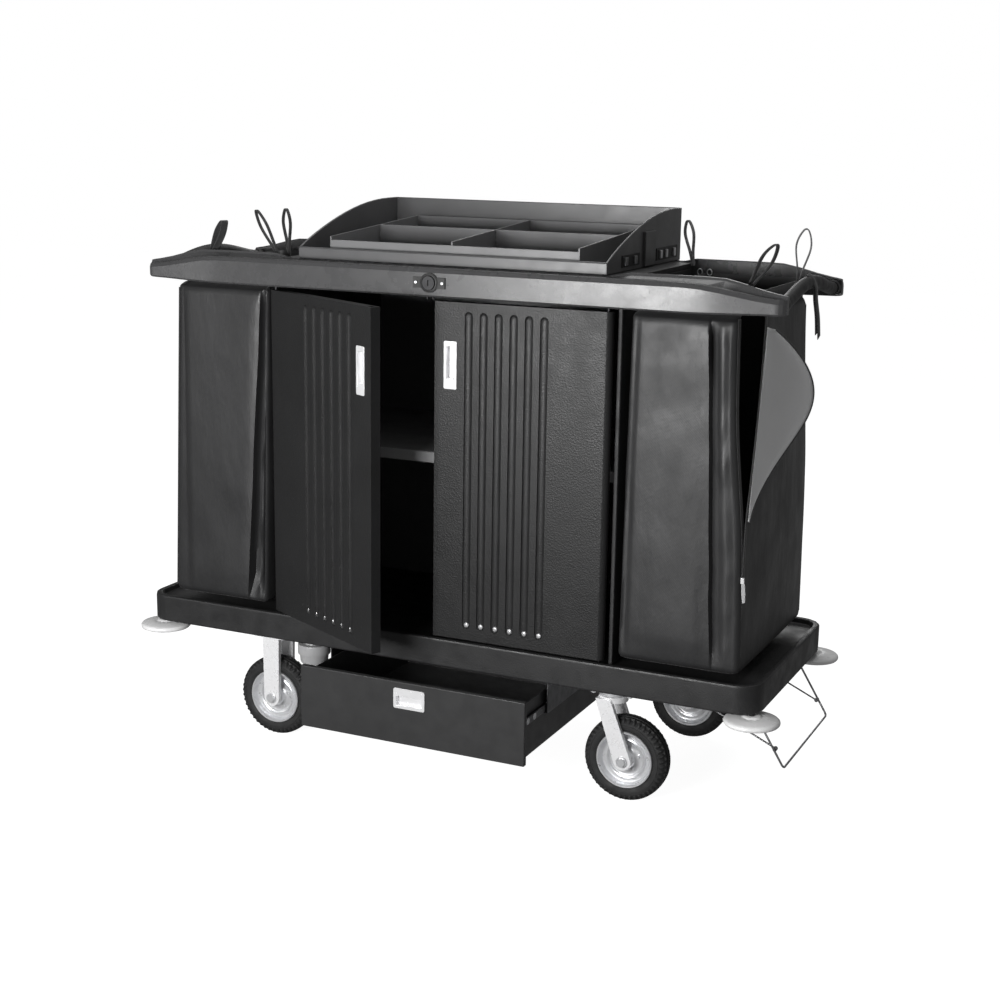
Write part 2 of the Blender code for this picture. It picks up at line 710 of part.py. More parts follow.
def end_handle(name, side):
    """A thick arched bar between the two rails at one end."""
    taper = blend(RAIL_TAPER_FROM, RAIL_HALF_LENGTH, HANDLE_X - HANDLE_RADIUS)
    reach = RAIL_INNER + RAIL_TAPER_INNER * taper - 0.0005
    steps = 16
    points = []
    for i in range(steps + 1):
        y = reach * (2 * i / steps - 1)
        rise = (1 - (y / reach) ** 2) ** 2
        points.append((side * HANDLE_X, y, HANDLE_END_Z + HANDLE_RISE * rise))
    points.insert(1, (side * HANDLE_X, -reach + 0.008, HANDLE_END_Z))
    points.insert(-1, (side * HANDLE_X, reach - 0.008, HANDLE_END_Z))
    return wire(name, points, HANDLE_RADIUS, "handle_rubber", CART, resolution=4)


# ---------------------------------------------------------------- organizer and tray

def organizer_outline():
    """The wing's side view: a low front lip, a curved rise and a flat top at the back."""
    steps, flat_from = 12, ORGANIZER_BACK - 0.048
    points = [(ORGANIZER_FRONT, ORGANIZER_BASE)]
    for i in range(steps + 1):
        t = i / steps
        y = ORGANIZER_FRONT + (flat_from - ORGANIZER_FRONT) * t
        z = ORGANIZER_LIP + (ORGANIZER_TOP - ORGANIZER_LIP) * sin(pi / 2 * t) ** 0.9
        points.append((y, z))
    return points + [(ORGANIZER_BACK, ORGANIZER_TOP), (ORGANIZER_BACK, ORGANIZER_BASE)]


def organizer_hood():
    body = prism(organizer_outline(), -ORGANIZER_HALF, ORGANIZER_HALF, "X")
    hood = keep(body, "organizer_hood", "organizer_plastic", CART)
    wall = ORGANIZER_WALL
    room = block(
        (-ORGANIZER_HALF + wall, ORGANIZER_FRONT + wall, ORGANIZER_BASE + 0.004),
        (ORGANIZER_HALF - wall, ORGANIZER_BACK - wall, ORGANIZER_TOP + 0.1),
    )
    boolean(hood, cutter(room, "organizer_room", CART))
    smooth(hood)


def divider_tray():
    """A lift-out tray of four cells, its walls rising to the back."""
    low = ORGANIZER_BASE + 0.004 + GAP
    outline = [
        (TRAY_FRONT, low), (TRAY_FRONT, TRAY_FRONT_TOP), (TRAY_BACK, TRAY_BACK_TOP), (TRAY_BACK, low)
    ]
    tray = keep(prism(outline, -TRAY_HALF, TRAY_HALF, "X"), "divider_tray", "tray_plastic", CART)
    wall, top = TRAY_WALL, TRAY_BACK_TOP + 0.05
    cells = []
    for x in (-1, 1):
        for near, far in ((TRAY_FRONT, TRAY_DIVIDER_Y), (TRAY_DIVIDER_Y, TRAY_BACK)):
            xs = sorted((x * wall / 2, x * (TRAY_HALF - wall)))
            inner = wall / 2 if near == TRAY_DIVIDER_Y else wall
            outer = wall / 2 if far == TRAY_DIVIDER_Y else wall
            cells.append(block((xs[0], near + inner, low + 0.003), (xs[1], far - outer, top)))
    boolean(tray, cutter(joined(*cells), "tray_cells", CART))
    notch = block(
        (-TRAY_HALF + wall, TRAY_FRONT - 0.01, TRAY_FRONT_TOP - 0.008),
        (TRAY_HALF - wall, TRAY_FRONT + wall + 0.001, top),
    )
    boolean(tray, cutter(notch, "tray_front_notch", CART))


# ---------------------------------------------------------------- drawer

def drawer():
    front, back = DRAWER_FRONT, DRAWER_FRONT + DRAWER_PANEL
    panel = keep(
        block((-DRAWER_HALF, front, DRAWER_BOTTOM), (DRAWER_HALF, back, DRAWER_TOP)),
        "drawer_front", "drawer_paint", CART,
    )
    round_edges(panel, 0.0025, 2)
    wide, high = CUP_WIDTH / 2 - 0.005, CUP_HEIGHT / 2 - 0.005
    hole = block((-wide, front - 0.01, CUP_Z - high), (wide, front + 0.0125, CUP_Z + high))
    boolean(panel, cutter(hole, "cup_hole", CART))

    box = keep(
        block(
            (-DRAWER_BOX_HALF, back + GAP, DRAWER_BOX_BOTTOM),
            (DRAWER_BOX_HALF, back + DRAWER_BOX_LENGTH, DRAWER_BOX_TOP),
        ),
        "drawer_box", "drawer_paint", CART,
    )
    wall = DRAWER_WALL
    room = block(
        (-DRAWER_BOX_HALF + wall, back + GAP + wall, DRAWER_BOX_BOTTOM + wall),
        (DRAWER_BOX_HALF - wall, back + DRAWER_BOX_LENGTH - wall, DRAWER_BOX_TOP + 0.01),
    )
    boolean(box, cutter(room, "drawer_room", CART))
    drawer_pull(front, wide, high)
    for name, side in (("left", -1), ("right", 1)):
        drawer_slide("drawer_slide_" + name, side, back)
        drawer_rail("drawer_rail_" + name, side)


def drawer_pull(front, wide, high):
    """A flanged cup pull in the middle of the drawer's front."""
    outline = rounded_rectangle(
        (-CUP_WIDTH / 2, CUP_Z - CUP_HEIGHT / 2), (CUP_WIDTH / 2, CUP_Z + CUP_HEIGHT / 2), 0.004, 2
    )
    pull = keep(prism(outline, front - 0.0025, front - GAP, "Y"), "drawer_pull", "chrome", CART)
    wide, high = wide - 0.0006, high - 0.0006
    cup = block((-wide, front - 0.001, CUP_Z - high), (wide, front + 0.012, CUP_Z + high))
    boolean(pull, cutter(cup, "pull_cup", CART), "UNION")
    recess = block(
        (-wide + 0.002, front - 0.02, CUP_Z - high + 0.002),
        (wide - 0.002, front + 0.010, CUP_Z + high - 0.013),
    )
    boolean(pull, cutter(recess, "pull_recess", CART))


def drawer_slide(name, side, back):
    xs = sorted((side * (DRAWER_BOX_HALF + GAP), side * (DRAWER_BOX_HALF + 0.0065)))
    low, high = DRAWER_SLIDE_Z - 0.009, DRAWER_SLIDE_Z + 0.009
    bar = block((xs[0], back + 0.004, low), (xs[1], back + DRAWER_BOX_LENGTH - 0.004, high))
    keep(bar, name, "slide_steel", CART)


def drawer_rail(name, side):
    """A channel round the drawer's slide, hung from the deck by its web."""
    lip, web, out = DRAWER_BOX_HALF + 0.0015, DRAWER_BOX_HALF + 0.0085, DRAWER_BOX_HALF + 0.0115
    low, high = DRAWER_SLIDE_Z - 0.014, DRAWER_SLIDE_Z + 0.014
    top = DECK_BOTTOM - GAP
    outline = [
        (lip, low), (out, low), (out, top), (lip - 0.012, top), (lip - 0.012, top - 0.003),
        (web, top - 0.003), (web, high), (lip, high), (lip, high - 0.003), (web, high - 0.003),
        (web, low + 0.003), (lip, low + 0.003),
    ]
    outline = [(side * x, z) for x, z in outline]
    keep(prism(outline, -0.254, 0.262, "Y"), name, "slide_steel", CART)


# ---------------------------------------------------------------- casters

def leg_outline(top_x, foot_x, top_half, top_z, radius=FORK_FOOT):
    """A caster leg seen from the side: straight edges down to a round foot on the axle."""
    lean = atan2(top_x - foot_x, top_z - WHEEL_RADIUS)
    start = -lean * 180 / pi
    turn = arc((foot_x, WHEEL_RADIUS), radius, start, start - 180, 8)
    return [(top_x + top_half, top_z)] + turn + [(top_x - top_half, top_z)]


def fork(name, shape, crown_low, y, parent):
    """Two pressed channel legs either side of the wheel, with a bridge over it and a hole for the axle.
    Shape is the legs' (top x, foot x, half width at the top, top z)."""
    legs = keep(prism(leg_outline(*shape), y - FORK_OUTER, y + FORK_OUTER, "Y"), name, "zinc", parent)
    middle = block((-1, y - FORK_INNER, 0), (1, y + FORK_INNER, crown_low))
    boolean(legs, cutter(middle, name + "_middle", parent))
    top_x, foot_x, top_half, top_z = shape
    inner = leg_outline(top_x, foot_x, top_half - FORK_SHEET, top_z, FORK_FOOT - FORK_SHEET)
    inner = [(x, min(z, crown_low - 0.002)) for x, z in inner]
    hollow = prism(inner, y - FORK_OUTER + FORK_SHEET, y + FORK_OUTER - FORK_SHEET, "Y")
    boolean(legs, cutter(hollow, name + "_hollow", parent))
    hole = rod(BORE_RADIUS, y - 0.06, y + 0.06, "Y", (foot_x, 0, WHEEL_RADIUS), 12)
    boolean(legs, cutter(hole, name + "_hole", parent))
    return legs


def rigid_fork(name, y):
    top = DECK_BOTTOM - GAP
    legs = fork(name, (RIGID_X, RIGID_X, 0.023, top - 0.002), RIGID_CROWN, y, CART)
    plate = block(
        (RIGID_X - 0.042, y - 0.046, top - CASTER_PLATE), (RIGID_X + 0.042, y + 0.046, top)
    )
    boolean(legs, cutter(plate, name + "_plate", CART), "UNION")
    smooth(legs)


def swivel_plate(name, y):
    top = DECK_BOTTOM - GAP
    plate = block(
        (SWIVEL_X - 0.048, y - 0.042, top - CASTER_PLATE), (SWIVEL_X + 0.062, y + 0.042, top)
    )
    made = keep(plate, name, "zinc", CART)
    race = rod(0.031, 0.2465, top - 0.002, centre=(SWIVEL_X, y, 0), segments=20)
    boolean(made, cutter(race, name + "_race", CART), "UNION")


def swivel_fork(name, axis):
    """The fork's mesh is in the swivel axis's own frame."""
    legs = fork(name, (-0.012, SWIVEL_TRAIL, 0.018, SWIVEL_CROWN + 0.010), SWIVEL_CROWN, 0.0, axis)
    crown = rod(0.034, SWIVEL_CROWN, SWIVEL_CROWN + 0.0135, segments=20)
    boolean(legs, cutter(crown, name + "_crown", axis), "UNION")
    smooth(legs)


def wheel(which, parent, location):
    """Tyre and rim about the wheel's own axis."""
    along = (-pi / 2, 0, 0)
    bead = RIM_RADIUS + GAP
    half = [(bead, 0.018), (0.075, 0.0235), (0.086, 0.025), (0.094, 0.0215), (0.0993, 0.012)]
    tyre = half + [(WHEEL_RADIUS, 0.0)] + [(r, -w) for r, w in reversed(half)]
    turned("tyre_" + which, tyre, "tyre_rubber", parent, location, along)
    down = [(RIM_RADIUS, 0.0175), (RIM_RADIUS, -0.0175), (0.058, -0.0185), (0.0545, -0.011)]
    down += [(0.047, -0.012), (0.043, -0.005)]
    hub = [(0.023, -0.005), (0.020, -0.0255), (BORE_RADIUS, -0.0255)]
    rim = down + hub + [(r, -w) for r, w in reversed(hub)] + [(r, -w) for r, w in reversed(down[2:])]
    turned("rim_" + which, rim, "zinc", parent, location, along)


def axle(which, parent, location):
    head, reach = 0.012, FORK_OUTER + 0.0005
    down = [(0, reach + 0.007), (head, reach + 0.007), (head, reach), (AXLE_RADIUS, reach)]
    profile = down + [(r, -w) for r, w in reversed(down)]
    turned("axle_" + which, profile, "zinc", parent, location, (-pi / 2, 0, 0), steps=12)


def casters():
    for place, y in (("front", -WHEEL_Y), ("back", WHEEL_Y)):
        which = "left_" + place
        hub = (RIGID_X, y, WHEEL_RADIUS)
        rigid_fork("rigid_fork_" + place, y)
        axle(which, CART, hub)
        wheel(which, CART, hub)

        which = "right_" + place
        axis = empty("swivel_axis_" + place, (SWIVEL_X, y, 0), CART)
        hub = (SWIVEL_TRAIL, 0, WHEEL_RADIUS)
        swivel_plate("swivel_plate_" + place, y)
        swivel_fork("swivel_fork_" + place, axis)
        axle(which, axis, hub)
        wheel(which, axis, hub)


def drawer_knob():
    top = DECK_BOTTOM - GAP
    profile = [
        (0, top), (0.022, top), (0.022, top - 0.008), (KNOB_RADIUS, top - 0.009),
        (KNOB_RADIUS, KNOB_BOTTOM + 0.018), (KNOB_RADIUS - 0.012, KNOB_BOTTOM), (0, KNOB_BOTTOM),
    ]
    turned("drawer_knob", profile, "knob_plastic", CART, (KNOB_X, KNOB_Y, 0))


# ---------------------------------------------------------------- wire rack

def rack_point(distance, y):
    """A point on the bail's arm, measured from its hinge, in the hinge's own frame."""
    return (distance * cos(RACK_DROP), y, -distance * sin(RACK_DROP))


def rack_bail():
    """A U of wire whose two turned-in ends sit in the brackets."""
    bend = 0.008
    side = [
        (0, RACK_EAR[0] - 0.002, 0),
        (0, RACK_HALF - 0.0012, 0),
        rack_point(0.0015, RACK_HALF),
        rack_point(RACK_ARM - bend, RACK_HALF),
        rack_point(RACK_ARM - bend * 0.3, RACK_HALF - bend * 0.3),
        rack_point(RACK_ARM, RACK_HALF - bend),
    ]
    other = [(x, -y, z) for x, y, z in reversed(side)]
    hinge = (RACK_HINGE_X, 0, RACK_HINGE_Z)
    wire("rack_bail", side + other, RACK_WIRE, "wire_steel", CART, hinge)


def rack_stay(name, side):
    """A straight wire from the bracket to a small collar beside the bail's arm."""
    collar = rack_point(RACK_COLLAR, side * STAY_HALF)
    reach = (collar[0] + RACK_HINGE_X - STAY_ANCHOR_X, collar[2])
    points = [
        (0, side * (RACK_EAR[1] + 0.002), 0),
        (0, side * (STAY_HALF + 0.0012), 0),
        (reach[0] * 0.006, side * STAY_HALF, reach[1] * 0.006),
        (reach[0], side * STAY_HALF, reach[1]),
    ]
    anchor = (STAY_ANCHOR_X, 0, RACK_HINGE_Z)
    stay = wire(name, points, STAY_WIRE, "wire_steel", CART, anchor)
    ends = sorted((side * (STAY_HALF - 0.0025), side * (RACK_HALF - RACK_WIRE - 0.0012)))
    block_shape = rod(0.005, ends[0], ends[1], "Y", (reach[0], 0, reach[1]), 12)
    boolean(stay, cutter(block_shape, name + "_collar", CART, anchor), "UNION")


def rack_bracket(name, side):
    """An angle under the deck with a hole for the bail and one for the stay."""
    low, top = RACK_HINGE_Z - 0.0115, DECK_BOTTOM - GAP
    outline = [
        (RACK_EAR[1], low), (RACK_EAR[1], top), (RACK_FLANGE_INNER, top),
        (RACK_FLANGE_INNER, top - 0.0025), (RACK_EAR[0], top - 0.0025), (RACK_EAR[0], low),
    ]
    outline = [(side * y, z) for y, z in outline]
    angle = keep(
        prism(outline, STAY_ANCHOR_X - 0.012, RACK_HINGE_X + 0.012, "X"), name, "wire_steel", CART
    )
    near, far = sorted((side * 0.15, side * 0.21))
    holes = [
        rod(0.0036, near, far, "Y", (x, 0, RACK_HINGE_Z), 12) for x in (STAY_ANCHOR_X, RACK_HINGE_X)
    ]
    boolean(angle, cutter(joined(*holes), name + "_holes", CART))


# ---------------------------------------------------------------- bags

def bag(name, bottom, top):
    """An open-topped bag: a rounded-rectangle sleeve with a floor, thickened inwards."""
    rings = []
    for i in range(4):
        t = i / 3
        low, high = (b + (u - b) * t for b, u in zip(bottom, top))
        z = BAG_BOTTOM + (BAG_TOP - BAG_BOTTOM) * t
        outline = rounded_rectangle(
            (low, -BAG_HALF_WIDTH), (high, BAG_HALF_WIDTH), BAG_CORNER, BAG_CORNER_STEPS
        )
        rings.append([(x, y, z) for x, y in outline])
    made = loft(rings, name, "bag_polyester", CART, capped=False)
    shell = made.modifiers.new("wall", "SOLIDIFY")
    shell.thickness = BAG_WALL
    shell.offset = -1.0
    shell.use_even_offset = True
    smooth(made)
    return made


def zip_slit(made):
    """The open zip down the right bag's front corner, wide at the top."""
    corner = -BAG_HALF_WIDTH + 0.010
    outline = [
        (corner, SLIT_FOOT), (FLAP_FOOT[0], FLAP_FOOT[1]), (FLAP_HEAD[0], BAG_TOP + 0.02),
        (corner, BAG_TOP + 0.02),
    ]
    boolean(made, cutter(prism(outline, 0.722, 0.76, "X"), "zip_slit", CART))


def flap_point(u, v):
    """u runs up the fold line from its foot, v from the fold to the free edge."""
    y0, z0 = FLAP_FOOT
    dy, dz = FLAP_HEAD[0] - y0, FLAP_HEAD[1] - z0
    length = hypot(dy, dz)
    along, across = (dy / length, dz / length), (dz / length, -dy / length)
    reach = FLAP_WIDTH * sin(pi * u**1.94) ** 0.8 + 0.004
    lift = FLAP_LIFT * reach / FLAP_WIDTH * sin(pi * 0.62 * v) + 0.0035
    return (
        RIGHT_BAG_TOP[1] + lift,
        y0 + along[0] * length * u + across[0] * reach * v,
        z0 + along[1] * length * u + across[1] * reach * v,
    )


def bag_flap():
    """The unzipped corner of the right bag's end panel, peeled outwards and back."""
    rows, columns = 12, 6
    bm = bmesh.new()
    grid = [
        [bm.verts.new(flap_point(0.03 + 0.94 * i / rows, j / columns)) for j in range(columns + 1)]
        for i in range(rows + 1)
    ]
    for i in range(rows):
        for j in range(columns):
            bm.faces.new((grid[i][j], grid[i][j + 1], grid[i + 1][j + 1], grid[i + 1][j]))
    made = keep(bm, "bag_flap_right", "bag_polyester", CART)
    shell = made.modifiers.new("thickness", "SOLIDIFY")
    shell.thickness = FLAP_THICKNESS
    shell.offset = 1.0
    smooth(made)


def bags():
    bag("bag_left", LEFT_BAG_BOTTOM, LEFT_BAG_TOP)
    zip_slit(bag("bag_right", RIGHT_BAG_BOTTOM, RIGHT_BAG_TOP))
    bag_flap()


def build():
    base_deck()
    for place, y in (("front", -BUMPER_Y), ("back", BUMPER_Y)):
        bumper("bumper_left_" + place, -BUMPER_X, y)
        bumper("bumper_right_" + place, BUMPER_X, y)
    cabinet()
    doors()
    latch_pocket(rail("rail_front", -1))
    back_relief(rail("rail_back", 1))
    lock()
    latch_bolt()
    end_handle("end_handle_left", -1)
    end_handle("end_handle_right", 1)
    organizer_hood()
    divider_tray()
    drawer()
    drawer_knob()
    casters()
    rack_bail()
    for place, side in (("front", -1), ("back", 1)):
        rack_stay("rack_stay_" + place, side)
        rack_bracket("rack_bracket_" + place, side)
    bags()


clear_scene()
PARTS = new_collection("housekeeping_cart")
CUTTERS = new_collection("cutters")
CUTTERS.hide_render = True
CART = empty("cart_frame", (0, CART_SHIFT_Y, 0))
build()
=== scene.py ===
"""Looks of the housekeeping cart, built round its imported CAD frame. Metres, +Z up, the doors facing -Y."""

import json
from math import cos, hypot, pi, radians, sin

import bmesh
import bpy
from mathutils import Matrix, Vector, noise


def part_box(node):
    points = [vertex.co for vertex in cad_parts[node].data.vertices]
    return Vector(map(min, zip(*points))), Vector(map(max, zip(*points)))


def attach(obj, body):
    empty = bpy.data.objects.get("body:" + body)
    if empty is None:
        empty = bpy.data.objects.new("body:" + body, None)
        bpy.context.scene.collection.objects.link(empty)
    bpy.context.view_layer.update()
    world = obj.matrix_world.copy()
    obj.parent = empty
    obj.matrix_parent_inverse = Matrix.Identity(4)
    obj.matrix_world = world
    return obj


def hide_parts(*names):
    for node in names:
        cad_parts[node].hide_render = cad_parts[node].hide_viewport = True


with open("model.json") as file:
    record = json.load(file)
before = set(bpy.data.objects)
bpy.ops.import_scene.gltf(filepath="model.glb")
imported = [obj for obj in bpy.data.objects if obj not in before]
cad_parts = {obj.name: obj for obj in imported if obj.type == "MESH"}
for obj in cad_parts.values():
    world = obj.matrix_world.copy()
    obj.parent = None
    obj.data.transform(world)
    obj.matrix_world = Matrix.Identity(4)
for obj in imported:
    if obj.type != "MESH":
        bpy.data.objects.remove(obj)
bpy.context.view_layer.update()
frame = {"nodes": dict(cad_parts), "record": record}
NODES = frame["nodes"]
BODY_OF = {node: body for body, nodes in frame["record"]["behaviour"]["bodies"].items() for node in nodes}
SLOT_OF = {part["node"]: part["material_slot"] for part in frame["record"]["subparts"]}
DECK_LOW, DECK_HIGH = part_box("base_deck")
MID_Y = (DECK_LOW.y + DECK_HIGH.y) / 2  # the cart's middle plane
ROOT = "cart_body"
CLOTH = 0.0020  # the thickness of the bags' cloth


# ---------------------------------------------------------------- node materials

class Graph:
    """One material's nodes, with a short method for each kind that the looks here use."""

    def __init__(self, name):
        self.material = bpy.data.materials.new(name)
        self.material.use_nodes = True
        self.tree = self.material.node_tree
        self.shader = self.tree.nodes["Principled BSDF"]
        self.place = self.add("ShaderNodeTexCoord").outputs["Object"]

    def add(self, kind, **values):
        node = self.tree.nodes.new(kind)
        for key, value in values.items():
            if hasattr(node, key):
                setattr(node, key, value)
            else:
                node.inputs[key.replace("_", " ").title()].default_value = value
        return node

    def link(self, source, target):
        self.tree.links.new(source, target)

    def scaled(self, scale):
        """The object's own coordinates, stretched."""
        node = self.add("ShaderNodeMapping")
        node.inputs["Scale"].default_value = scale
        self.link(self.place, node.inputs["Vector"])
        return node.outputs["Vector"]

    def noise(self, scale, detail=3.0, rough=0.55, at=None):
        node = self.add("ShaderNodeTexNoise", scale=scale, detail=detail, roughness=rough)
        self.link(at or self.place, node.inputs["Vector"])
        return node.outputs["Fac"]

    def cells(self, scale):
        node = self.add("ShaderNodeTexVoronoi", scale=scale)
        self.link(self.place, node.inputs["Vector"])
        return node.outputs["Distance"]

    def wave(self, scale, direction):
        node = self.add("ShaderNodeTexWave", bands_direction=direction, scale=scale)
        self.link(self.place, node.inputs["Vector"])
        return node.outputs["Fac"]

    def remap(self, value, low, high, start=0.0, end=1.0):
        node = self.add("ShaderNodeMapRange")
        for key, number in (("From Min", low), ("From Max", high), ("To Min", start), ("To Max", end)):
            node.inputs[key].default_value = number
        self.link(value, node.inputs["Value"])
        return node.outputs["Result"]

    def maths(self, operation, a, b):
        node = self.add("ShaderNodeMath", operation=operation)
        for socket, value in zip(node.inputs, (a, b)):
            if isinstance(value, (int, float)):
                socket.default_value = value
            else:
                self.link(value, socket)
        return node.outputs["Value"]

    def colours(self, value, *stops):
        ramp = self.add("ShaderNodeValToRGB")
        while len(ramp.color_ramp.elements) < len(stops):
            ramp.color_ramp.elements.new(0.5)
        for element, (position, colour) in zip(ramp.color_ramp.elements, stops):
            element.position = position
            element.color = (*colour, 1.0)
        self.link(value, ramp.inputs["Fac"])
        return ramp.outputs["Color"]

    def bumps(self, *layers):
        """Each layer is (height, strength, distance in metres)."""
        normal = None
        for height, strength, distance in layers:
            node = self.add("ShaderNodeBump", strength=strength, distance=distance)
            self.link(height, node.inputs["Height"])
            if normal:
                self.link(normal, node.inputs["Normal"])
            normal = node.outputs["Normal"]
        self.link(normal, self.shader.inputs["Normal"])

    def set(self, **values):
        for key, value in values.items():
            self.shader.inputs[key.replace("_", " ")].default_value = value

    def base(self, colour):
        self.link(colour, self.shader.inputs["Base Color"])

    def gloss(self, cloudy, low, high):
        """Roughness that wanders between two values."""
        self.link(self.remap(cloudy, 0.3, 0.7, low, high), self.shader.inputs["Roughness"])


def shade(colour, factor):
    """A colour made lighter or darker."""
    return tuple(min(c * factor, 1.0) for c in colour)


def moulded(name, colour, rough, grain=900.0, depth=0.00012, mottle=0.12, spread=0.10, scuff=0.0, **values):
    """Moulded plastic: a fine grain, slightly uneven colour and gloss, and faint scuffs."""
    g = Graph(name)
    cloudy = g.noise(5.0, 4.0, 0.6)
    low, high = shade(colour, 1 - mottle), shade(colour, 1 + mottle)
    base = g.colours(cloudy, (0.32, low), (0.68, high))
    if scuff:
        streaks = g.noise(30.0, 6.0, 0.7, g.scaled((0.25, 1.0, 2.5)))
        marks = g.remap(streaks, 0.60, 0.74, 0.0, scuff)
        mix = g.add("ShaderNodeMix", data_type="RGBA")
        g.link(marks, mix.inputs[0])
        g.link(base, mix.inputs[6])
        mix.inputs[7].default_value = (*shade(colour, 2.2), 1.0)
        base = mix.outputs[2]
    g.base(base)
    g.gloss(g.noise(22.0, 5.0, 0.6), rough - spread, rough + spread)
    g.bumps((g.cells(grain), 0.55, depth), (g.noise(14.0, 3.0), 0.25, 0.0006))
    g.set(**values)
    return g.material


def plated(name, colour, rough, spangle=90.0, contrast=0.10, spread=0.06, metallic=1.0):
    """Bright plated or coated metal with a faint crystal pattern and handling marks."""
    g = Graph(name)
    dull, bright = shade(colour, 1 - contrast), shade(colour, 1 + contrast)
    g.base(g.colours(g.cells(spangle), (0.1, dull), (0.75, bright)))
    g.gloss(g.noise(60.0, 5.0, 0.65), rough - spread, rough + spread)
    g.bumps((g.noise(35.0, 3.0), 0.15, 0.0005))
    g.set(Metallic=metallic)
    return g.material


def coated_cloth(name, colour, rough=0.62, weave=1100.0, wrinkle=0.5, contrast=0.20):
    """Coated polyester: a plain weave, soft creases and a slight sheen."""
    g = Graph(name)
    cloudy = g.noise(4.0, 5.0, 0.62)
    fine = g.noise(260.0, 2.0)
    tone = g.maths("ADD", g.maths("MULTIPLY", cloudy, 0.8), g.maths("MULTIPLY", fine, 0.2))
    g.base(g.colours(tone, (0.30, shade(colour, 1 - contrast)), (0.70, shade(colour, 1 + contrast))))
    g.gloss(g.noise(9.0, 4.0), rough - 0.09, rough + 0.09)
    threads = g.maths("MULTIPLY", g.wave(weave / 10, "DIAGONAL"), g.wave(weave / 10, "Z"))
    creases = g.noise(16.0, 4.0, 0.55, g.scaled((1.0, 1.0, 0.45)))
    g.bumps((creases, wrinkle, 0.006), (threads, 0.35, 0.00025))
    g.set(Sheen_Weight=0.06, Sheen_Roughness=0.45)
    return g.material


def webbing_cloth(name, colour):
    """Woven strap with cross ribs."""
    g = Graph(name)
    ribs = g.wave(190.0, "Z")
    g.base(g.colours(g.noise(50.0, 4.0), (0.3, shade(colour, 0.7)), (0.7, shade(colour, 1.4))))
    g.gloss(g.noise(40.0), 0.6, 0.85)
    g.bumps((ribs, 0.5, 0.0005), (g.noise(400.0), 0.4, 0.0003))
    g.set(Sheen_Weight=0.3)
    return g.material


def rubber(name, colour, rough=0.72):
    """Black rubber with dusty patches."""
    g = Graph(name)
    g.base(g.colours(g.noise(18.0, 6.0, 0.65), (0.30, shade(colour, 0.75)), (0.72, shade(colour, 1.5))))
    g.gloss(g.noise(45.0, 5.0), rough - 0.12, rough + 0.10)
    g.bumps((g.noise(320.0, 3.0), 0.4, 0.0003), (g.noise(25.0), 0.3, 0.0008))
    return g.material


def grey(make, name, warm, blue, *values, **inputs):
    """A material called NAME_look whose red and green are equal."""
    return make(name + "_look", (warm, warm, blue), *values, **inputs)


LOOKS = {
    slot: grey(make, slot, *values)
    for slot, make, *values in (
        ("deck_plastic", moulded, 0.017, 0.0175, 0.46, 420, 0.0004, 0.22, 0.10, 0.10),
        ("cabinet_plastic", moulded, 0.026, 0.0265, 0.58, 800, 0.00015, 0.2),
        ("rail_plastic", moulded, 0.062, 0.0635, 0.28, 1100, 0.00008, 0.06, 0.05, 0.02),
        ("organizer_plastic", moulded, 0.085, 0.087, 0.36, 1100, 0.00008, 0.10, 0.06, 0.03),
        ("tray_plastic", moulded, 0.150, 0.153, 0.42, 1100, 0.00008, 0.10, 0.06, 0.03),
        ("handle_rubber", rubber, 0.012, 0.0122, 0.50),
        ("lock_black", moulded, 0.006, 0.006, 0.50, 1500, 0.00005, 0.2, 0.08),
        ("chrome", plated, 0.90, 0.91, 0.24, 40.0, 0.03, 0.05, 0.35),
        ("drawer_paint", moulded, 0.030, 0.0305, 0.40, 1300, 0.00008, 0.08, 0.06, 0.04),
        ("slide_steel", plated, 0.16, 0.165, 0.38, 60.0, 0.12, 0.10),
        ("tyre_rubber", rubber, 0.013, 0.0132),
        ("bumper_plastic", moulded, 0.93, 0.93, 0.25, 900, 0.00006, 0.05, 0.08, 0.02),
        ("knob_plastic", moulded, 0.35, 0.354, 0.40, 900, 0.0001, 0.08),
        ("wire_steel", plated, 0.36, 0.37, 0.36, 120.0, 0.15, 0.08),
        ("bag_polyester", coated_cloth, 0.0185, 0.0192, 0.48),
    )
}
LOOKS["door_plastic"] = grey(
    moulded, "door_plastic", 0.013, 0.0133, 0.43, 300, 0.0006, 0.12, 0.06, 0.04, Specular_IOR_Level=0.36
)
LOOKS["zinc"] = plated("zinc_look", (0.74, 0.745, 0.76), 0.32, 150.0, 0.03, 0.06, 0.60)
STUD_LOOK = grey(plated, "stud", 0.62, 0.63, 0.32, 200.0, 0.06, 0.06, 0.5)
DARK_STEEL = grey(plated, "dark_steel", 0.035, 0.036, 0.45, 200.0, 0.10)
LEG_LOOK = grey(plated, "leg", 0.92, 0.93, 0.30, 150.0, 0.03, 0.06, 0.25)
# Painted light: the shelf and back are the cabinet's dark plastic made much lighter, standing in for light in
# the shaded cabinet interior
SHELF_PAINTED_LIGHT = grey(moulded, "cabinet_shelf", 0.30, 0.303, 0.58, 800, 0.00015, 0.1)
BACK_PAINTED_LIGHT = grey(moulded, "cabinet_back", 0.18, 0.182, 0.58, 800, 0.00015, 0.05)
# Nodes whose look isn't their slot's own
OWN_LOOKS = {
    "lock_cylinder": DARK_STEEL, "latch_bolt": DARK_STEEL, "door_pin_left": DARK_STEEL,
    "door_pin_right": DARK_STEEL, "cabinet_back": BACK_PAINTED_LIGHT, "cabinet_shelf": SHELF_PAINTED_LIGHT,
    "rigid_fork_front": LEG_LOOK, "rigid_fork_back": LEG_LOOK, "swivel_fork_front": LEG_LOOK,
    "swivel_fork_back": LEG_LOOK,
}
for node, obj in NODES.items():
    obj.data.materials.clear()
    obj.data.materials.append(LOOKS[SLOT_OF[node]])


# ---------------------------------------------------------------- mesh helpers

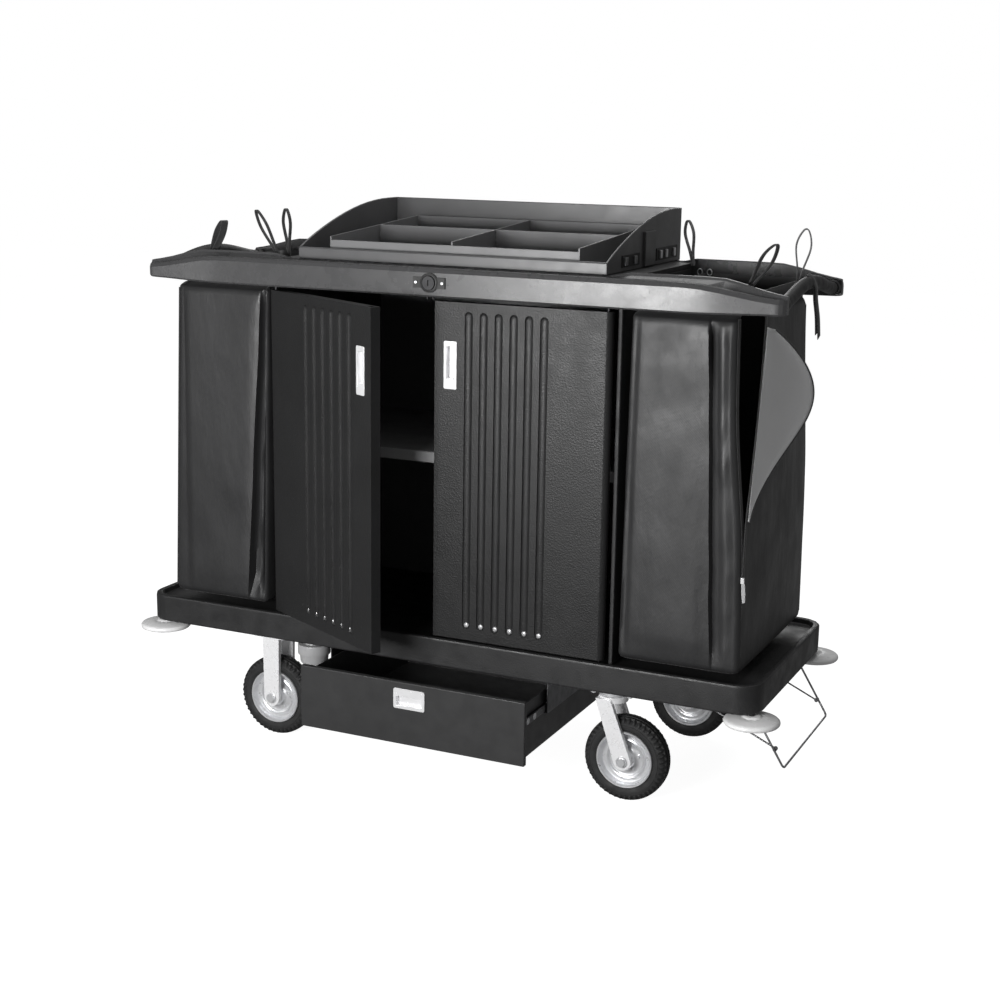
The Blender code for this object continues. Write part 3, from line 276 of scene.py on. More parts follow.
def piece(mesh_or_bm, name, slot, body, replaces=(), look=None, angle=35.0):
    """A finished piece that rides on a body, smooth apart from its sharp edges."""
    mesh = mesh_or_bm
    if isinstance(mesh_or_bm, bmesh.types.BMesh):
        mesh = bpy.data.meshes.new(name)
        bmesh.ops.recalc_face_normals(mesh_or_bm, faces=mesh_or_bm.faces)
        mesh_or_bm.to_mesh(mesh)
        mesh_or_bm.free()
    made = bpy.data.objects.new(name, mesh)
    bpy.context.scene.collection.objects.link(made)
    mesh.materials.append(look or LOOKS[slot])
    mesh.shade_smooth()
    mesh.set_sharp_from_angle(angle=radians(angle))
    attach(made, body)
    if replaces:
        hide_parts(*replaces)
    return made


def cad_copy(node):
    """The node's mesh again, welded, with its flat faces whole."""
    bm = bmesh.new()
    bm.from_mesh(NODES[node].data)
    bmesh.ops.remove_doubles(bm, verts=bm.verts, dist=2e-6)
    bmesh.ops.dissolve_limit(bm, angle_limit=radians(0.6), verts=bm.verts, edges=bm.edges)
    return bm


def same_shape(node, angle):
    """A piece that takes a CAD node's place in the node's own shape."""
    own_look = OWN_LOOKS.get(node)
    return piece(cad_copy(node), node + "_look", SLOT_OF[node], BODY_OF[node], (node,), own_look, angle)


def soft_edges(obj, width, angle=35.0):
    """Rounds a piece's edges over."""
    bevel = obj.modifiers.new("edges", "BEVEL")
    bevel.width = width
    bevel.segments = 2
    bevel.limit_method = "ANGLE"
    bevel.angle_limit = radians(angle)
    bevel.harden_normals = True


def rounded(node, width, angle=35.0):
    """A CAD node with its edges rounded over and its flat faces shaded flat."""
    made = same_shape(node, angle)
    soft_edges(made, width, angle)
    flat = made.modifiers.new("flat_faces", "WEIGHTED_NORMAL")
    flat.keep_sharp = True
    flat.weight = 90


def wall(obj, offset):
    """Gives a sheet the cloth's thickness: offset -1 inwards, 0 to both sides."""
    solid = obj.modifiers.new("wall", "SOLIDIFY")
    solid.thickness = CLOTH
    solid.offset = offset


def lathe(profile, steps, matrix, closed=True):
    """Profile points (radius, height) turned about Z, then placed. A point may be a function of the step."""
    bm = bmesh.new()
    rings = []
    for i in range(steps):
        a = 2 * pi * i / steps
        ring = [(p(i) if callable(p) else p) for p in profile]
        rings.append([bm.verts.new(matrix @ Vector((r * cos(a), r * sin(a), z))) for r, z in ring])
    count = len(profile)
    for i in range(steps):
        near, far = rings[i], rings[(i + 1) % steps]
        for j in range(count if closed else count - 1):
            k = (j + 1) % count
            bm.faces.new((near[j], far[j], far[k], near[k]))
    if not closed:
        for end in (0, -1):
            if profile[end][0] > 1e-6:
                bm.faces.new([ring[end] for ring in rings])
    bmesh.ops.remove_doubles(bm, verts=bm.verts, dist=1e-6)
    return bm


def skinned(bm, rings):
    """Faces between rings of as many points each, and a cap at either end."""
    sides = len(rings[0])
    for near, far in zip(rings, rings[1:]):
        for k in range(sides):
            bm.faces.new((near[k], near[(k + 1) % sides], far[(k + 1) % sides], far[k]))
    bm.faces.new(rings[0])
    bm.faces.new(rings[-1])
    return bm


def tube(path, radius, sides=10):
    """A round tube along points, with caps. Its radius may be a function of the share of its length."""
    path = [Vector(p) for p in path]
    bm = bmesh.new()
    rings = []
    normal = None
    for i, point in enumerate(path):
        ahead, behind = path[min(i + 1, len(path) - 1)], path[max(i - 1, 0)]
        along = (ahead - behind).normalized()
        if normal is None:
            normal = along.orthogonal().normalized()
        normal = (normal - along * normal.dot(along)).normalized()
        other = along.cross(normal)
        size = radius(i / (len(path) - 1)) if callable(radius) else radius
        angles = [2 * pi * k / sides for k in range(sides)]
        rings.append([bm.verts.new(point + size * (cos(a) * normal + sin(a) * other)) for a in angles])
    return skinned(bm, rings)


def curve_points(knots, count):
    """A smooth run of points through a few knots."""
    knots = [Vector(k) for k in knots]
    padded = [2 * knots[0] - knots[1], *knots, 2 * knots[-1] - knots[-2]]
    points = []
    for i in range(count + 1):
        t = i / count * (len(knots) - 1)
        s = min(int(t), len(knots) - 2)
        u = t - s
        a, b, c, d = padded[s:s + 4]
        square, cube = 2 * a - 5 * b + 4 * c - d, 3 * b - a - 3 * c + d
        points.append(0.5 * (2 * b + (c - a) * u + square * u**2 + cube * u**3))
    return points


def strap(path, across, width, thickness, taper=None):
    """Flat webbing along points. Across is the direction of its width."""
    path = [Vector(p) for p in path]
    bm = bmesh.new()
    rings = []
    for i, point in enumerate(path):
        ahead, behind = path[min(i + 1, len(path) - 1)], path[max(i - 1, 0)]
        along = (ahead - behind).normalized()
        wide = Vector(across)
        wide = (wide - along * wide.dot(along)).normalized()
        up = along.cross(wide)
        w = width / 2 * (taper(i / (len(path) - 1)) if taper else 1.0)
        t = thickness / 2
        half = ((-w, -t * 0.6), (-w * 0.93, -t), (w * 0.93, -t), (w, -t * 0.6))
        section = half + tuple((-a, -b) for a, b in half)
        rings.append([bm.verts.new(point + a * wide + b * up) for a, b in section])
    return skinned(bm, rings)


def block(low, high):
    """A box between two corners."""
    bm = bmesh.new()
    bmesh.ops.create_cube(bm, size=1.0)
    low, high = Vector(low), Vector(high)
    bmesh.ops.scale(bm, vec=high - low, verts=bm.verts)
    bmesh.ops.translate(bm, vec=(low + high) / 2, verts=bm.verts)
    return bm


def merged(*bms):
    """Several BMeshes as one, in the first of them."""
    first = bms[0]
    for other in bms[1:]:
        mesh = bpy.data.meshes.new("merged")
        other.to_mesh(mesh)
        other.free()
        first.from_mesh(mesh)
        bpy.data.meshes.remove(mesh)
    return first


def facing(direction, centre):
    """A matrix whose Z looks along direction, at a centre."""
    turn = Vector(direction).to_track_quat("Z", "Y").to_matrix().to_4x4()
    return Matrix.Translation(centre) @ turn


def at(x, y, z):
    """A point given from the cart's own middle plane."""
    return Vector((x, y + MID_Y, z))


def middle(node):
    """The centre of a node's box and half its size."""
    low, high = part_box(node)
    return (low + high) / 2, (high - low) / 2


def round_seat(node):
    """For a node that turns about Z: the middle of its underside, its radius and its height."""
    centre, half = middle(node)
    return Vector((centre.x, centre.y, centre.z - half.z)), half.x, 2 * half.z


# ---------------------------------------------------------------- hard pieces

EDGE_WIDTHS = {
    "organizer_hood": 0.0020, "divider_tray": 0.0010, "door_left": 0.0016, "door_right": 0.0016,
    "door_pull_left": 0.0006, "door_pull_right": 0.0006, "drawer_front": 0.0008, "drawer_box": 0.0009,
    "drawer_pull": 0.0007, "lock_plate": 0.0007, "lock_cylinder": 0.0005, "drawer_slide_left": 0.0010,
    "drawer_slide_right": 0.0010, "drawer_rail_left": 0.0006, "drawer_rail_right": 0.0006,
    "cabinet_back": 0.0015, "cabinet_side_left": 0.0020, "cabinet_side_right": 0.0020, "top_deck": 0.0015,
    "rigid_fork_front": 0.0009, "rigid_fork_back": 0.0009, "swivel_fork_front": 0.0009,
    "swivel_fork_back": 0.0009, "swivel_plate_front": 0.0010, "swivel_plate_back": 0.0010,
    "rack_bracket_front": 0.0005, "rack_bracket_back": 0.0005, "latch_bolt": 0.0004,
    "cabinet_shelf": 0.0015, "base_deck": 0.0012,
}
for node, width in EDGE_WIDTHS.items():
    rounded(node, width)
for node in ("rail_front", "rail_back"):
    rounded(node, 0.0018, angle=17.0)  # the rails' shallow bends count as edges too
for node in ("rack_bail", "rack_stay_front", "rack_stay_back", "door_pin_left", "door_pin_right"):
    same_shape(node, 50)

# The corners of the cart, each with a wheel and a bumper
PLACES = ("left_front", "left_back", "right_front", "right_back")
LUGS = 46  # round a tyre
RIM_BOLTS, RIM_BOLT_CIRCLE = 5, 0.031
FORK_FACE = 0.0383  # from a wheel's middle to the outside of its fork
HANDLE_RIBS = 44


def both_ways(profile):
    """A half profile and its mirror image, as one closed run."""
    return profile + [
        (lambda i, p=p: (p(i)[0], -p(i)[1])) if callable(p) else (p[0], -p[1]) for p in reversed(profile)
    ]


def tyre(place):
    """A block-shouldered tyre with a ribbed tread."""
    node = "tyre_" + place
    centre, half = middle(node)
    r, h = half.z, half.y

    def lug(raised, cut):
        return lambda i: raised if i % 4 < 2 else cut

    profile = [
        (0.0664, 0.50 * h), (0.0684, 0.86 * h), (0.0725, 0.955 * h), (0.0775, h), (0.0815, 0.99 * h),
        (0.0822, 0.955 * h), (0.0834, 0.955 * h), (0.0841, 0.985 * h), (0.0868, 0.955 * h),
        lug((0.0885, 0.975 * h), (0.0880, 0.90 * h)), lug((0.0945, 0.90 * h), (0.0910, 0.80 * h)),
        lug((0.0972, 0.77 * h), (0.0930, 0.72 * h)), lug((0.0985, 0.60 * h), (0.0950, 0.60 * h)),
        (0.0992, 0.54 * h), (0.9975 * r, 0.36 * h), (0.966 * r, 0.33 * h), (0.966 * r, 0.22 * h),
        (r, 0.19 * h), (r, 0.05 * h),
    ]
    bm = lathe(both_ways(profile), 4 * LUGS, facing((0, 1, 0), centre))
    piece(bm, node + "_tread", "tyre_rubber", BODY_OF[node], (node,), angle=30)


def rim(place):
    """A pressed two-ring disc on each side of a hub, with five small bolts."""
    node = "rim_" + place
    centre, half = middle(node)
    h = half.y
    profile = [
        (0.0655, 0.30 * h), (0.0662, 0.60 * h), (0.0672, 0.84 * h), (0.0672, 0.95 * h), (0.0658, h),
        (0.0632, 0.985 * h), (0.0612, 0.90 * h), (0.0598, 0.62 * h), (0.0570, 0.42 * h), (0.0520, 0.36 * h),
        (0.0492, 0.38 * h), (0.0478, 0.50 * h), (0.0450, 0.55 * h), (0.0420, 0.50 * h), (0.0402, 0.38 * h),
        (0.0370, 0.34 * h), (0.0250, 0.42 * h), (0.0222, 0.50 * h), (0.0210, 0.92 * h), (0.0195, 0.985 * h),
        (0.0126, 0.985 * h),
    ]
    bm = lathe(both_ways(profile), 72, facing((0, 1, 0), centre))
    angles = [2 * pi * k / RIM_BOLTS + 0.3 for k in range(RIM_BOLTS)]
    ring = RIM_BOLT_CIRCLE
    for side in (-1, 1):
        seats = [centre + Vector((ring * cos(a), side * 0.37 * h, ring * sin(a))) for a in angles]
        bm = merged(bm, *[hex_head(seat, (0, side, 0), 0.0042, 0.0035) for seat in seats])
    piece(bm, node + "_disc", "zinc", BODY_OF[node], (node,), angle=32)


def hex_head(centre, direction, radius, height, washer=0.0):
    """A chamfered hexagon, with a washer under it where one is asked for."""
    turn = facing(direction, centre)
    profile = [(0.0, 0.0), (radius, 0.0), (radius, 0.78 * height), (0.86 * radius, height), (0.0, height)]
    bm = lathe(profile, 6, turn, closed=False)
    if washer:
        ring = [(0.0, -0.0004), (washer, -0.0004), (washer, 0.0012), (0.94 * washer, 0.0017), (0.0, 0.0017)]
        bm = merged(bm, lathe(ring, 28, turn, closed=False))
    return bm


def axle(place):
    """A bolt through the fork: a hexagon head, a nut and the thread's end."""
    node = "axle_" + place
    centre, half = middle(node)
    end, radius = half.y - 0.001, 0.0058
    shank = [(0.0, -end), (radius, -end), (radius, end), (0.0, end)]
    parts = [lathe(shank, 20, facing((0, 1, 0), centre), closed=False)]
    for side in (-1, 1):
        seat = centre + Vector((0, side * FORK_FACE, 0)) + Vector((0, side * 0.0014, 0))
        parts.append(hex_head(seat, (0, side, 0), 0.0108, 0.0054, 0.0132))
    piece(merged(*parts), node + "_bolt", "zinc", BODY_OF[node], (node,), angle=28)


for place in PLACES:
    tyre(place)
    rim(place)
    axle(place)

# Four bolt heads under each swivel caster's plate
PLATE_THICKNESS = 0.0050
BOLT_X, BOLT_Y = 0.044, 0.033
for node in ("swivel_plate_front", "swivel_plate_back"):
    centre = middle(node)[0]
    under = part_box(node)[1].z - PLATE_THICKNESS - 0.0001
    spots = [(centre.x + dx, centre.y + dy) for dx in (-BOLT_X, BOLT_X) for dy in (-BOLT_Y, BOLT_Y)]
    heads = [hex_head(Vector((x, y, under)), (0, 0, -1), 0.0062, 0.0048, 0.0082) for x, y in spots]
    piece(merged(*heads), node + "_bolts", "zinc", ROOT, angle=30)


def bumper(place):
    """A moulded disc with a raised crown, a soft rim and a shallow ring round its hub."""
    node = "bumper_" + place
    seat, r, h = round_seat(node)
    bore = 0.0076
    profile = [
        (bore, 0.10 * h), (0.30 * r, 0.02 * h), (0.55 * r, 0.0), (0.80 * r, 0.10 * h), (0.955 * r, 0.20 * h),
        (0.99 * r, 0.30 * h), (r, 0.42 * h), (0.99 * r, 0.54 * h), (0.95 * r, 0.64 * h), (0.86 * r, 0.70 * h),
        (0.60 * r, 0.79 * h), (0.42 * r, 0.86 * h), (0.38 * r, 0.84 * h), (0.34 * r, 0.86 * h),
        (0.30 * r, 0.97 * h), (0.24 * r, h), (bore, h),
    ]
    disc = lathe(profile, 72, Matrix.Translation(seat))
    piece(disc, node + "_disc", "bumper_plastic", BODY_OF[node], (node,), angle=40)


for place in PLACES:
    bumper(place)


def knob():
    """A round grip under the deck, widest near its top."""
    seat, r, h = round_seat("drawer_knob")
    profile = [
        (0.0, 0.0), (0.66 * r, 0.0), (0.78 * r, 0.03 * h), (0.85 * r, 0.12 * h), (0.885 * r, 0.40 * h),
        (0.90 * r, 0.43 * h), (0.985 * r, 0.45 * h), (r, 0.48 * h), (r, 0.86 * h), (0.985 * r, 0.90 * h),
        (0.60 * r, 0.905 * h), (0.55 * r, h), (0.0, h),
    ]
    grip = lathe(profile, 120, Matrix.Translation(seat), closed=False)
    piece(grip, "drawer_knob_grip", "knob_plastic", BODY_OF["drawer_knob"], ("drawer_knob",))


knob()


def end_handle(name):
    """A thick ribbed grip that arches between the rails, with a collar at each end."""
    low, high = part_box(name)
    x, radius = (low.x + high.x) / 2, (high.x - low.x) / 2
    reach, base = (high.y - low.y) / 2, low.z + radius
    rise = high.z - low.z - 2 * radius
    path = [(x, MID_Y + reach * t, base + rise * (1 - t * t) ** 2) for t in [k / 44 - 1 for k in range(89)]]

    def ribs(u):
        return radius * (1.0 if u < 0.12 or u > 0.88 else 0.985 + 0.015 * cos(u * 2 * pi * HANDLE_RIBS))

    bm = tube(path, ribs, 24)
    inner, shoulder, outer = radius - 0.002, radius + 0.0022, radius + 0.0030
    ring = [(inner, -0.009), (shoulder, -0.009), (outer, -0.007)]
    ring += [(r, -z) for r, z in reversed(ring)]
    for end in (-1, 1):
        seat = Vector((x, MID_Y + end * (reach - 0.012), base + 0.0002))
        bm = merged(bm, lathe(ring, 28, facing((0, 1, 0), seat)))
    piece(bm, name + "_grip", "handle_rubber", ROOT, (name,), angle=40)


end_handle("end_handle_left")
end_handle("end_handle_right")


# The doors, with the sizes and places that the part gives them
GROOVES, FIRST_GROOVE, GROOVE_STEP = 6, 0.085, 0.0367
PLUG_Z, PLUG_DEPTH = 0.3705, 0.0040
DOOR_LENGTH = 0.410  # from a door's pin to its free edge
PIN_INWARDS = 0.0125  # from a door's face to its pin
LEFT_PIN = at(-0.424, -0.2625, 0)
LEFT_TURN = radians(27.5)  # how far the left door stands open


def door_plugs(node):
    """Small domed plugs at the foot of a door's grooves, counted from its free edge."""
    if node == "door_right":
        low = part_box(node)[0]
        origin, along, out = Vector((low.x, low.y, 0)), Vector((1, 0, 0)), Vector((0, -1, 0))
    else:
        along = Vector((-cos(LEFT_TURN), sin(LEFT_TURN), 0))
        out = Vector((-sin(LEFT_TURN), -cos(LEFT_TURN), 0))
        origin = LEFT_PIN - along * DOOR_LENGTH + out * PIN_INWARDS
    dome = [(0.0058, -0.0004), (0.0058, 0.0010), (0.0046, 0.0021), (0.0022, 0.0027), (0.0, 0.0028)]
    plugs = []
    for k in range(GROOVES):
        spot = origin + along * (FIRST_GROOVE + GROOVE_STEP * k) - out * PLUG_DEPTH
        spot.z = PLUG_Z
        plugs.append(lathe(dome, 20, facing(out, spot), closed=False))
    piece(merged(*plugs), node + "_plugs", "zinc", BODY_OF[node], look=STUD_LOOK, angle=50)


door_plugs("door_right")
door_plugs("door_left")

# Screws and bezel on the lock's plate
LOCK = middle("lock_plate")[0]
LOCK_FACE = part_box("lock_plate")[0].y


def on_lock(aside, proud):
    """A place on the plate's face that looks forwards."""
    return facing((0, -1, 0), Vector((LOCK.x + aside, LOCK_FACE + proud, LOCK.z)))


screw = [(0.0036, 0.0), (0.0036, 0.0008), (0.0028, 0.0017), (0.0, 0.0020)]
screws = [lathe(screw, 18, on_lock(aside, 0.0002), closed=False) for aside in (-0.0330, 0.0330)]
piece(merged(*screws), "lock_screws", "zinc", ROOT, angle=40)
bezel = [(0.0168, 0.0), (0.0210, 0.0), (0.0210, 0.0014), (0.0196, 0.0022), (0.0172, 0.0022), (0.0168, 0.0016)]
piece(lathe(bezel, 48, on_lock(0, 0.0004)), "lock_bezel", "lock_black", ROOT)

# Fittings on the outer face of the organizer's right wing: name, slot, look, how far they reach in and out
# of its face, their Y and Z from and to, and the width of their rounded edges
HOOD_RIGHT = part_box("organizer_hood")[1].x
CLIPS, LATCHES = (0.112, 0.150, 0.205), (-0.118, -0.060)
WING_FITTINGS = [
    ("wing_strap", "organizer_plastic", None, (-0.0005, 0.0065), (0.006, 0.074), (1.1935, 1.272), 0.0016),
    # Painted shade: a near-black block on the face stands in for the shade inside the recess
    ("wing_recess_painted_shade", "lock_black", None, (-0.0005, 0.0022), (0.092, 0.238), (1.2005, 1.2290), 0.0006),
    *[(f"wing_clip_{k}", "zinc", STUD_LOOK, (0.002, 0.0062), (y, y + 0.012), (1.2045, 1.2235), 0.0009)
      for k, y in enumerate(CLIPS)],
    # Painted shade: a near-black block on the face stands in for the shade inside the slot
    ("wing_slot_painted_shade", "lock_black", None, (-0.0005, 0.0020), (-0.130, -0.020), (1.2000, 1.2270), 0.0006),
    *[(f"wing_latch_{k}", "wire_steel", None, (0.0015, 0.0060), (y, y + 0.016), (1.2040, 1.2220), 0.0010)
      for k, y in enumerate(LATCHES)],
]
for name, slot, own_look, (x0, x1), (y0, y1), (z0, z1), width in WING_FITTINGS:
    body = block(at(HOOD_RIGHT + x0, y0, z0), at(HOOD_RIGHT + x1, y1, z1))
    soft_edges(piece(body, name, slot, ROOT, look=own_look), width)

# Rollers at the front of the drawer's slides
SLIDE_X, ROLLER_Z = 0.2838, 0.195
roller = [
    (0.0, 0.0), (0.0078, 0.0), (0.0078, 0.0011), (0.0066, 0.0015), (0.0030, 0.0015), (0.0026, 0.0019),
    (0.0, 0.0019),
]
for name, side in (("left", -1), ("right", 1)):
    seats = [facing((side, 0, 0), at(side * SLIDE_X, y, ROLLER_Z)) for y in (-0.355, -0.318, -0.235)]
    rollers = [lathe(roller, 28, seat, closed=False) for seat in seats]
    piece(merged(*rollers), "slide_rollers_" + name, "zinc", BODY_OF["drawer_front"])


# ---------------------------------------------------------------- webbing

WEBBING = webbing_cloth("webbing_look", (0.020, 0.020, 0.0205))
PALE_WEBBING = webbing_cloth("strap_look", (0.13, 0.13, 0.132))


def webbing(bm, name):
    """A piece of dark webbing that belongs to the bags."""
    return piece(bm, name, "bag_polyester", ROOT, look=WEBBING, angle=60)


def loop(name, foot, tip, spread, width, lean, thickness, own_look=WEBBING):
    """A standing loop of webbing: up from its foot, round a tear-shaped eye, and down again."""
    up = tip - foot
    aside = up.cross(Vector(lean)).normalized() * spread
    knots = [
        foot - aside * 0.06, foot + up * 0.30 - aside * 0.30, foot + up * 0.72 - aside * 0.95,
        tip - aside * 0.42, tip + up.normalized() * 0.001 + aside * 0.30,
        foot + up * 0.74 + aside * 0.95, foot + up * 0.32 + aside * 0.34, foot + aside * 0.08,
    ]
    bm = strap(curve_points(knots, 46), lean, width, thickness)
    piece(bm, name, "bag_polyester", ROOT, look=own_look, angle=60)


# Name, foot, tip, half the eye's width, the webbing's width, the way that width runs, its thickness
for name, foot, tip, *values in (
    ("left_end", (-0.655, -0.198, 1.165), (-0.612, -0.198, 1.264), 0.0105, 0.020, (0.35, 0.94, 0), 0.0026),
    ("left_outer", (-0.450, -0.190, 1.170), (-0.521, -0.190, 1.291), 0.0108, 0.0085, (0.25, 0.97, 0), 0.0024),
    ("left_inner", (-0.441, -0.176, 1.190), (-0.449, -0.176, 1.297), 0.0135, 0.0085, (0.30, 0.95, 0), 0.0024),
    ("right_back", (0.450, 0.190, 1.185), (0.433, 0.190, 1.286), 0.0130, 0.0090, (0.30, 0.95, 0), 0.0028,
     PALE_WEBBING),
    ("right_front", (0.692, -0.200, 1.158), (0.757, -0.200, 1.268), 0.0135, 0.013, (0.22, 0.97, 0), 0.0028),
    ("right_end", (0.741, 0.050, 1.160), (0.754, 0.050, 1.286), 0.0175, 0.007, (-0.42, 0.90, 0.1), 0.0030,
     PALE_WEBBING),
):
    loop("loop_" + name, at(*foot), at(*tip), *values)

# A strap that hangs over the right end handle, and a second one just behind it
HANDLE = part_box("end_handle_right")[1]
hang = curve_points([
    (HANDLE.x - 0.029, MID_Y - 0.010, 1.168), (HANDLE.x - 0.014, MID_Y - 0.010, HANDLE.z + 0.002),
    (HANDLE.x + 0.002, MID_Y - 0.008, 1.172), (HANDLE.x + 0.003, MID_Y + 0.002, 1.138),
    (HANDLE.x + 0.004, MID_Y + 0.022, 1.098), (HANDLE.x + 0.002, MID_Y + 0.044, 1.054),
], 40)
webbing(strap(hang, (0.05, 1, 0.25), 0.019, 0.0016), "handle_strap")
hang_back = [p + Vector((-0.0025, -0.012 * k / 40, 0.010 * k / 40)) for k, p in enumerate(hang)][8:]
webbing(strap(hang_back, (0.15, 1, 0.20), 0.017, 0.0014), "handle_strap_back")

# Eyelet hooks on the far rail's inner face
HOOK_Y, HOOK_Z = 0.2065, 1.170
for k, x in enumerate((0.462, 0.486)):
    centre = at(x, HOOK_Y, HOOK_Z)
    turns = [2 * pi * i / 8 for i in range(9)]
    eye = curve_points([centre + Vector((0.006 * cos(a), -0.001, 0.007 * sin(a))) for a in turns], 32)
    piece(tube(eye, 0.0013), f"rail_hook_{k}", "zinc", ROOT, angle=60)


# ---------------------------------------------------------------- bags

LINING = coated_cloth("bag_lining_look", (0.78, 0.78, 0.785), 0.42, wrinkle=0.10, contrast=0.06)
BAG_LOW, BAG_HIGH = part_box("bag_right")
FLOOR_Z, TOP_Z, HALF_Y = BAG_LOW.z, BAG_HIGH.z, (BAG_HIGH.y - BAG_LOW.y) / 2
# Over the solids' top the cloth turns in under the rails and goes up between them: (height, distance inwards)
NECK = (
    (0.004, 0.004), (0.009, 0.016), (0.0125, 0.032), (0.0145, 0.0455), (0.019, 0.0485), (0.034, 0.0488),
    (0.058, 0.0486),
)
NECK_HALF_Y = 0.2085
# Each bag's X from and to, at its foot and at its top, its outer corners' radius and its end panel's swell
BAGS = {
    "right": ((0.456, 0.738), (0.466, 0.723), 0.012, 0.015),
    "left": ((0.468, 0.743), (0.4485, 0.712), 0.022, 0.009),
}
INNER_RADIUS = 0.010
BACK_TAPER = 0.045
# The open zip, and the fold of the corner that hangs out of it: (Y, Z)
SLIT_FOOT_Z, ZIP_TOP_Z = 0.560, 1.118
FOLD_FOOT, FOLD_HEAD = (-0.238, 0.680), (-0.130, 1.096)


def mix(a, b, t):
    """The value between two others."""
    return a + (b - a) * t


def smooth_step(t):
    """0 before 0 and 1 after 1, with an even start and end."""
    t = min(max(t, 0.0), 1.0)
    return t * t * (3 - 2 * t)


def wrinkle(x, y, z, seed, size):
    """Long soft folds that run down the cloth, with finer cross creases."""
    long = noise.noise(Vector((x * 9.0, y * 9.0 + seed, z * 1.7)))
    fine = noise.noise(Vector((x * 24.0, y * 24.0 - seed, z * 11.0 + seed)))
    return size * (long + 0.28 * fine)


def slit_y(z):
    """Where the open zip's back edge runs on the end panel, from its foot up."""
    points = ((-0.2475, SLIT_FOOT_Z), FOLD_FOOT, FOLD_HEAD, (-0.118, 1.200))
    for (y0, z0), (y1, z1) in zip(points, points[1:]):
        if z <= z1:
            return mix(y0, y1, max(z - z0, 0.0) / (z1 - z0))
    return points[-1][0]


def wave(z, seed, rate):
    """A slow random change with height, from -1 to 1."""
    return noise.noise(Vector((seed, z * rate, seed * 0.7)))


def right_front(t, low, high):
    """The front panel's section: (X, outward offset, columns up to the next one)."""
    z = mix(FLOOR_Z, TOP_Z, t)
    seam = mix(0.675, 0.642, t) + 0.0022 * wave(z, 3.1, 9)
    crease = 0.0070 * wave(z, 5.7, 16) * (0.35 + 0.65 * t)
    pinch = 0.0085 * smooth_step((t - 0.80) / 0.12) * smooth_step((1.0 - t) / 0.05)
    return [
        (low, -0.003, 4), (mix(low, seam, 0.10), 0.0035, 5), (mix(low, seam, 0.40), 0.0085 * (1.2 - t), 6),
        (mix(low, seam, 0.78), 0.0072 * (1.1 - t) + 0.002, 4), (seam - 0.012, 0.0048, 3),
        (seam - 0.0025, 0.0044, 2), (seam + 0.0015, -0.0085 - pinch, 2),
        (seam + 0.010, -0.0045 + crease * 0.4, 5), (mix(seam, high, 0.62), 0.0028 + crease, 7),
        (high, 0.0, 0),
    ]


def left_front(t, low, high):
    """The same for the left bag, whose inner edge is one deep pleat."""
    z = mix(FLOOR_Z, TOP_Z, t)
    seam = mix(0.525, 0.4715, t ** 0.9) + 0.0018 * wave(z, 4.4, 7)
    ripple = 0.0045 * wave(z, 2.6, 22) * (1 - t) ** 0.5
    fold = mix(0.4875, 0.4540, t) + ripple
    deep = -0.034 * (0.45 + 0.55 * (1 - t) ** 0.5)
    return [
        (low, -0.020, 3), (fold - 0.0018, -0.0060 - ripple, 2), (fold + 0.0024, -0.0035, 2),
        (mix(fold, seam, 0.45), deep, 3), (seam - 0.0035, deep * 0.75, 2), (seam, 0.0018, 2),
        (seam + 0.012, 0.0042, 5), (mix(seam, high, 0.45), 0.0075 * (1.1 - t) - 0.001, 6), (0.688, 0.0042, 2),
        (0.6915, -0.0010, 2), (high, -0.001, 0),
    ]


def front_columns(keys):
    """A section's points, with columns filled in between them: smoothly, or straight over a sharp fold."""
    out = []
    for (x0, d0, n), (x1, d1, _) in zip(keys, keys[1:]):
        out += [(mix(x0, x1, k / n), mix(d0, d1, smooth_step(k / n) if n > 2 else k / n)) for k in range(n)]
    return out + [keys[-1][:2]]


def back_inwards(t):
    """How far the back panel stands in from the bag's full depth."""
    return BACK_TAPER * smooth_step((t - 0.40) / 0.60) + 0.008 * (1 - min(t, 1.0)) ** 5


def loose(z):
    """How far the unzipped front corner has fallen back from the end panel."""
    return 0.022 * smooth_step((z - SLIT_FOOT_Z) / 0.40)


def zip_sway(z):
    """How far the loose front edge of the open zip wanders."""
    return 0.005 * wave(z, 9.1, 7) * smooth_step((z - SLIT_FOOT_Z) / 0.08)


